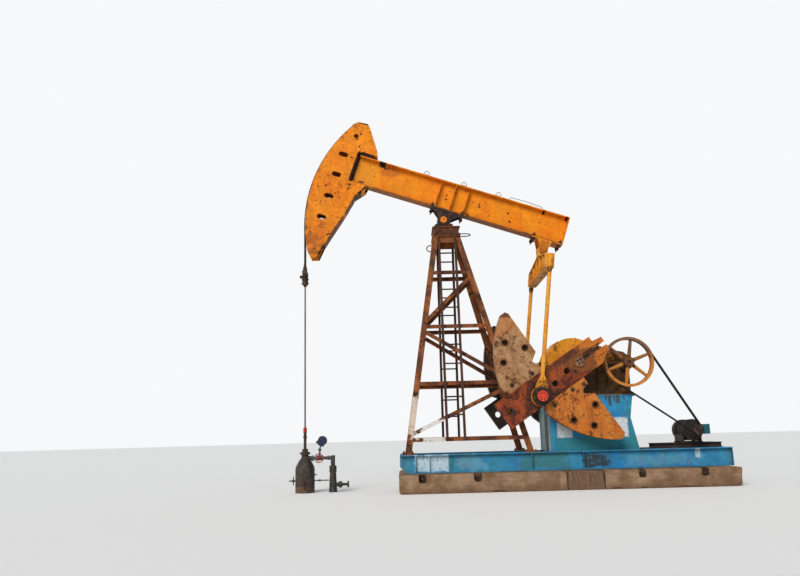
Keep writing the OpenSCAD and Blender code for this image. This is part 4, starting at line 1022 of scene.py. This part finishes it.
def strap(bm):
    inner, outer, start, sweep, steps = 0.1865, 0.1985, 128, 284, 56
    for side in SIDES:
        y1, y2 = side * 1.075, side * 1.105
        corners = ((inner, y1), (outer, y1), (outer, y2), (inner, y2))
        angles = [radians(start + sweep * i / steps) for i in range(steps + 1)]
        skin(bm, [
            [bm.verts.new(PIN_FRAME @ Vector((r * cos(a), y, r * sin(a)))) for r, y in corners]
            for a in angles
        ])


build("wrist_straps", strap, pitman_yellow, "pitman")

# %% [markdown]
# ### Bolts, pocket backs and ribs on the cranks
# Three bolts near the crank hold each weight. The weights' pockets aren't bored
# through, so each has a back, and the wedge in the crank's slot closes it.

# %% Bolts on cranks and weights
WEIGHT_BOLTS = ((0.075, 0.4), (0.33, 0.357), (0.8, 0.4))
WEIGHT_FACE, POCKET_DEPTH, POCKET_R = 1.0, 0.11, 0.0588


def on_weights(points, y):
    """The same points on all four weights, each with the way that it faces."""
    for side in SIDES:
        for at, sign in ((UPPER_AT, -1), (LOWER_AT, 1)):
            for s, t in points:
                yield CRANK_FRAME @ Vector((at + s, side * y, sign * t)), (0, side, 0)


bolts("weight_bolts", "crank", list(on_weights(WEIGHT_BOLTS, WEIGHT_FACE)), 0.046, iron)


def pocket_backs(bm):
    for middle, outward in on_weights(WEIGHT_POCKETS, WEIGHT_FACE - POCKET_DEPTH):
        turned(bm, pointing(middle, outward), [(POCKET_R, 0), (POCKET_R, 0.012), (0.03, 0.014)], 28)


def crank_ribs(bm):
    for side in SIDES:
        for sign in (-1, 1):
            plate(bm, inside(CRANK_FRAME, 0.72, side * 1.004, sign * 0.268), (2.2, 0.01, 0.03))
        plate(bm, inside(CRANK_FRAME, -0.47, side * 1.01, 0.105), (0.24, 0.02, 0.06), 0.006)


def slot_wedge(bm):
    """The packing in the slot that clamps the crank on its shaft."""
    for side in SIDES:
        plate(bm, inside(CRANK_FRAME, -0.305, side * 0.955, -0.008), (0.4, 0.06, 0.0684))


build("weight_pocket_backs", pocket_backs, iron, "crank")
build("crank_slot_wedges", slot_wedge, iron, "crank")
build("crank_edge_ribs", crank_ribs, crank_red, "crank")

# %% [markdown]
# ### Rope of the bridle
# The bridle is wire rope, and its twist shows along its outline. Six strands
# wound round a core are made as six tubes. The length over the head rides on
# the beam. The hanging length is a straight fixed mesh from the carrier bar up
# to the saddle's height.


# %% Rope strands
ROPE_D = 0.028
ROPE_Y = 0.09
HEAD_R = 3.06
WELL_X = -HEAD_R
LAY = 0.19


def strands(bm, path, step):
    """Six tubes wound round a path given by a function of length."""
    for k in range(6):
        points = []
        for i in range(step + 1):
            centre, n1, n2, length = path(i / step)
            a = 2 * pi * (length / LAY + k / 6)
            points.append(centre + (ROPE_D / 3.1) * (n1 * cos(a) + n2 * sin(a)))
        tube(bm, points, ROPE_D / 6.2, 5)


def hanging(y, z1, z2):
    def path(t):
        z = z1 + (z2 - z1) * t
        return Vector((WELL_X, y, z)), Vector((1, 0, 0)), Vector((0, 1, 0)), z
    return path


def over_head(y, a1, a2):
    def path(t):
        a = a1 + (a2 - a1) * t
        out = Vector((-cos(a), 0, sin(a)))
        centre = BEAM_FRAME @ (out * HEAD_R + Vector((0, y, 0)))
        return centre, BEAM_FRAME.to_3x3() @ out, Vector((0, 1, 0)), HEAD_R * a
    return path


HEAD_LOW, HEAD_HIGH = radians(-19), radians(30.5)


def wrap_mesh(bm):
    for y in (-ROPE_Y, ROPE_Y):
        strands(bm, over_head(y, HEAD_LOW, HEAD_HIGH), 220)
    end = BEAM_FRAME @ Matrix.Rotation(radians(31.5), 4, "Y")
    plate(bm, inside(end, -3.052, 0, 0), (0.032, 0.26, 0.09), 0.006)


wrap = build("bridle_rope_over_head", wrap_mesh, rope_black, "beam")
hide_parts("bridle_wrap")

CARRIER_TOP = 4.7
drop = stand("bridle_rope_hanging", bpy.data.meshes.new("bridle_rope_hanging"))
bm = bmesh.new()
for y in (-ROPE_Y, ROPE_Y):
    strands(bm, hanging(y, CARRIER_TOP - 0.02, SADDLE.z), 90)
bm.to_mesh(drop.data)
bm.free()
drop.data.materials.append(rope_black)
soften(drop.data)
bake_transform(drop)
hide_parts("bridle_drop")
print(drop.name, len(drop.data.polygons), "faces, from base to rod")

# %% [markdown]
# ### Carrier bar fittings
# The bar hangs in the two rope sockets and carries the rod in a round clamp,
# which two bolts on each side hold.

# %% Carrier bar fittings
carrier_places = [((WELL_X + side * 0.061, 0, z), (side, 0, 0)) for side in SIDES for z in (4.42, 4.5)]
bolts("carrier_clamp_bolts", "rod", carrier_places, 0.024, iron)


def sockets(bm):
    for y in (-ROPE_Y, ROPE_Y):
        place = Matrix.Translation((WELL_X, y, CARRIER_TOP - 0.021))
        turned(bm, place, [(0.036, 0), (0.036, 0.06), (0.021, 0.11), (0.019, 0.16)], 20)


build("rope_sockets", sockets, iron, "rod")

# %% [markdown]
# ### Rings near the top of the post
# A bent steel hoop stands out from the post on each side of its top, a step for
# the climber. They are round bar bent into a loop, so a tube along an ellipse.


# %% Hoops on the post
HOOPS = (((0.42, -0.3, 5.335), 0.145, 0.11, 0.0), ((-0.315, -0.3, 5.05), 0.075, 0.02, -0.062))


def hoops(bm):
    for centre, reach, width, rise in HOOPS:
        points = []
        for i in range(40):
            a = 2 * pi * i / 40
            bend = Vector((reach * cos(a), width * sin(a), rise * sin(a)))
            points.append(Vector(centre) + bend)
        tube(bm, points, 0.011, closed=True)


build("post_hoops", hoops, black_paint, "base")

# %% [markdown]
# ### Rails and rungs of the ladders
# The rails are angle iron. Their second leg lies in the ladder's plane and shows
# its full width from the front, so it is laid along the solid rail.

# %% Ladder rails and rungs
LEG_FOOT, LEG_HEAD = Vector((0, 0.68, 0.72)), Vector((0, 0.245, 5.31))
LADDER_X, RAIL_OUT, LADDER_OUT = 0.05, 0.2, 0.13
RUNGS = (1.49, 1.85, 2.527, 2.923, 3.713, 4.107, 4.915)


def ladder_at(side, z):
    share_up = (z - LEG_FOOT.z) / (LEG_HEAD.z - LEG_FOOT.z)
    return Vector((LADDER_X, side * (LEG_FOOT.lerp(LEG_HEAD, share_up).y + LADDER_OUT), z))


def ladder_irons(bm):
    for side in SIDES:
        foot, head = ladder_at(side, 0.99), ladder_at(side, 5.265)
        along = (head - foot).normalized()
        across = Vector((1, 0, 0))
        turn = Matrix((across, along.cross(across), along)).transposed().to_4x4()
        for x in (-1, 1):
            middle = (foot + head) / 2 + across * x * (RAIL_OUT - 0.0265)
            plate(bm, Matrix.Translation(middle) @ turn, (0.052, 0.007, (head - foot).length), 0.0015)
        for z in RUNGS:
            centre = ladder_at(side, z)
            tube(bm, [centre - across * 0.19, centre + across * 0.19], 0.0165, 10)


build("ladder_irons", ladder_irons, ladder_paint, "base")

# %% [markdown]
# ### Loops on the beam and the plate in the head's notch
# Wire loops stand along the top edge of the beam for a climber's line. Between
# the head's cheeks a dark plate closes the notch where the beam's end meets it.

# %% Beam loops and notch plate
LOOP_Y, WIRE_R = -0.112, 0.006
LONG_LOOP = ((1.23, 0.945), (1.27, 1.0), (1.62, 1.012), (1.98, 0.99), (2.02, 0.945))


def beam_loops(bm):
    for u in (-0.68, 0.19, 0.99):
        angles = [pi * i / 20 for i in range(21)]
        bend = [(u + 0.062 * cos(a), 0.947 + 0.088 * sin(a)) for a in angles]
        tube(bm, [BEAM_FRAME @ Vector((x, LOOP_Y, z)) for x, z in bend], WIRE_R, 6)
    tube(bm, [BEAM_FRAME @ Vector((x, LOOP_Y, z)) for x, z in LONG_LOOP], WIRE_R, 6)


def notch_plate(bm):
    plate(bm, inside(BEAM_FRAME, -2.256, 0, 0.645), (0.0605, 0.04, 0.66), 0.004)


build("beam_loops", beam_loops, black_paint, "beam")
build("notch_plate", notch_plate, iron, "beam")

# %% [markdown]
# ## Concrete and timber with real edges
# Poured concrete never has a sharp edge for long. The blocks are remeshed into
# small faces and worn inwards with noise, most along their edges, so that they
# stay inside the solid they stand for.


# %% Worn blocks
def worn_copy(node, name, voxel, wear, chip, material):
    solid = frame["nodes"][node]
    copy = stand(name, solid.data.copy())
    grid = copy.modifiers.new("grid", "REMESH")
    grid.mode = "VOXEL"
    grid.voxel_size = voxel
    deps = bpy.context.evaluated_depsgraph_get()
    mesh = bpy.data.meshes.new_from_object(copy.evaluated_get(deps))
    copy.modifiers.clear()
    copy.data = mesh
    low, high = (Vector(c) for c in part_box(node))
    normals = [v.normal.copy() for v in mesh.vertices]
    for v, normal in zip(mesh.vertices, normals):
        rough = noise.noise(v.co * 9) * 0.5 + noise.noise(v.co * 27) * 0.25 + 0.45
        edges = sum(1 for k in range(3) if min(v.co[k] - low[k], high[k] - v.co[k]) < 0.035)
        deep = max(0.0, noise.noise(v.co * 3.1) - 0.12) * chip * (1 if edges >= 2 else 0.15)
        v.co -= normal * (wear * max(rough, 0) + deep)
        for k in range(3):
            v.co[k] = min(max(v.co[k], low[k] + 0.0005), high[k] - 0.0005)
    mesh.materials.clear()
    mesh.materials.append(material)
    soften(mesh, 50)
    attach(copy, "base")
    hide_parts(node)
    print(name, len(mesh.polygons), "faces")


worn_copy("foundation_blocks", "worn_foundation", 0.027, 0.01, 0.1, concrete)
worn_copy("timber_packing", "worn_packing", 0.024, 0.007, 0.03, timber)

# %% [markdown]
# ## Light, floor and camera
# A pale floor, one big soft lamp from the front left and an even light from all
# round stand for an overcast noon. The camera stands where the picture was
# taken: at eye height, looking up by 11.6 degrees and leaning a little.

# %% Floor and background
PALE = (0.9, 0.9, 0.89)
floor_mesh = bpy.data.meshes.new("floor")
bm = bmesh.new()
bmesh.ops.create_circle(bm, cap_ends=True, radius=160, segments=96)
bm.to_mesh(floor_mesh)
bm.free()
floor = stand("floor", floor_mesh)
tree, shader, floor_finish = new_material("floor")
surface(tree, shader, PALE, 0.9)
floor_mesh.materials.append(floor_finish)
floor.location.z = -0.001
floor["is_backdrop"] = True

world = bpy.data.worlds.new("sky")
bpy.context.scene.world = world
world.use_nodes = True
sky = world.node_tree
background = sky.nodes["Background"]
seen = add(sky, "ShaderNodeLightPath")
direct = maths(sky, "ADD", seen.outputs["Is Camera Ray"], seen.outputs["Is Glossy Ray"])
direct = maths(sky, "ADD", direct, seen.outputs["Is Transmission Ray"], True)
feed(sky, mix(sky, direct, (0.72, 0.78, 0.86), (0.93, 0.94, 0.95)), background.inputs["Color"])
feed(sky, remap(sky, direct, 0.0, 1.0, 0.42, 1.0), background.inputs["Strength"])

# %% Sun
sun = bpy.data.lights.new("sun", "SUN")
sun.energy = 2.65
sun.angle = radians(30)
sun.color = (1.0, 0.965, 0.91)
sun_object = stand("sun", sun)
SUN_WAY = Vector((0.42, 0.85, -0.66))
sun_object.rotation_euler = SUN_WAY.to_track_quat("-Z", "Y").to_euler()
bpy.context.scene.view_settings.view_transform = "Standard"
print("sun strength:", sun.energy)

# %% Camera
CAMERA_AT = Vector((-0.99, -15.4, 1.1))
PITCH = radians(11.6)
ROLL = radians(1.5)
FOCAL_PX = 720
PICTURE_W = 800
ahead = Vector((0, cos(PITCH), sin(PITCH)))
level = Vector((1, 0, 0))
above = Vector((0, -sin(PITCH), cos(PITCH)))
right = level * cos(ROLL) - above * sin(ROLL)
up = above * cos(ROLL) + level * sin(ROLL)
camera = bpy.data.cameras.new("camera")
camera.sensor_width = 36
camera.lens = FOCAL_PX / PICTURE_W * camera.sensor_width
camera_object = stand("camera", camera)
pose = Matrix((right, up, -ahead)).transposed().to_4x4()
pose.translation = CAMERA_AT
camera_object.matrix_world = pose
bpy.context.scene.camera = camera_object
print("camera lens:", round(camera.lens, 1), "mm")

# %% [markdown]
# ## Triangles in view
# The finishes and small parts must stay inside the box of the solids. The
# last cell counts the triangles of the pieces that are shown.

# %% Triangles in view
triangles = sum(len(p.vertices) - 2 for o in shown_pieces() if o.type == "MESH" for p in o.data.polygons)
print("triangles in view:", triangles)
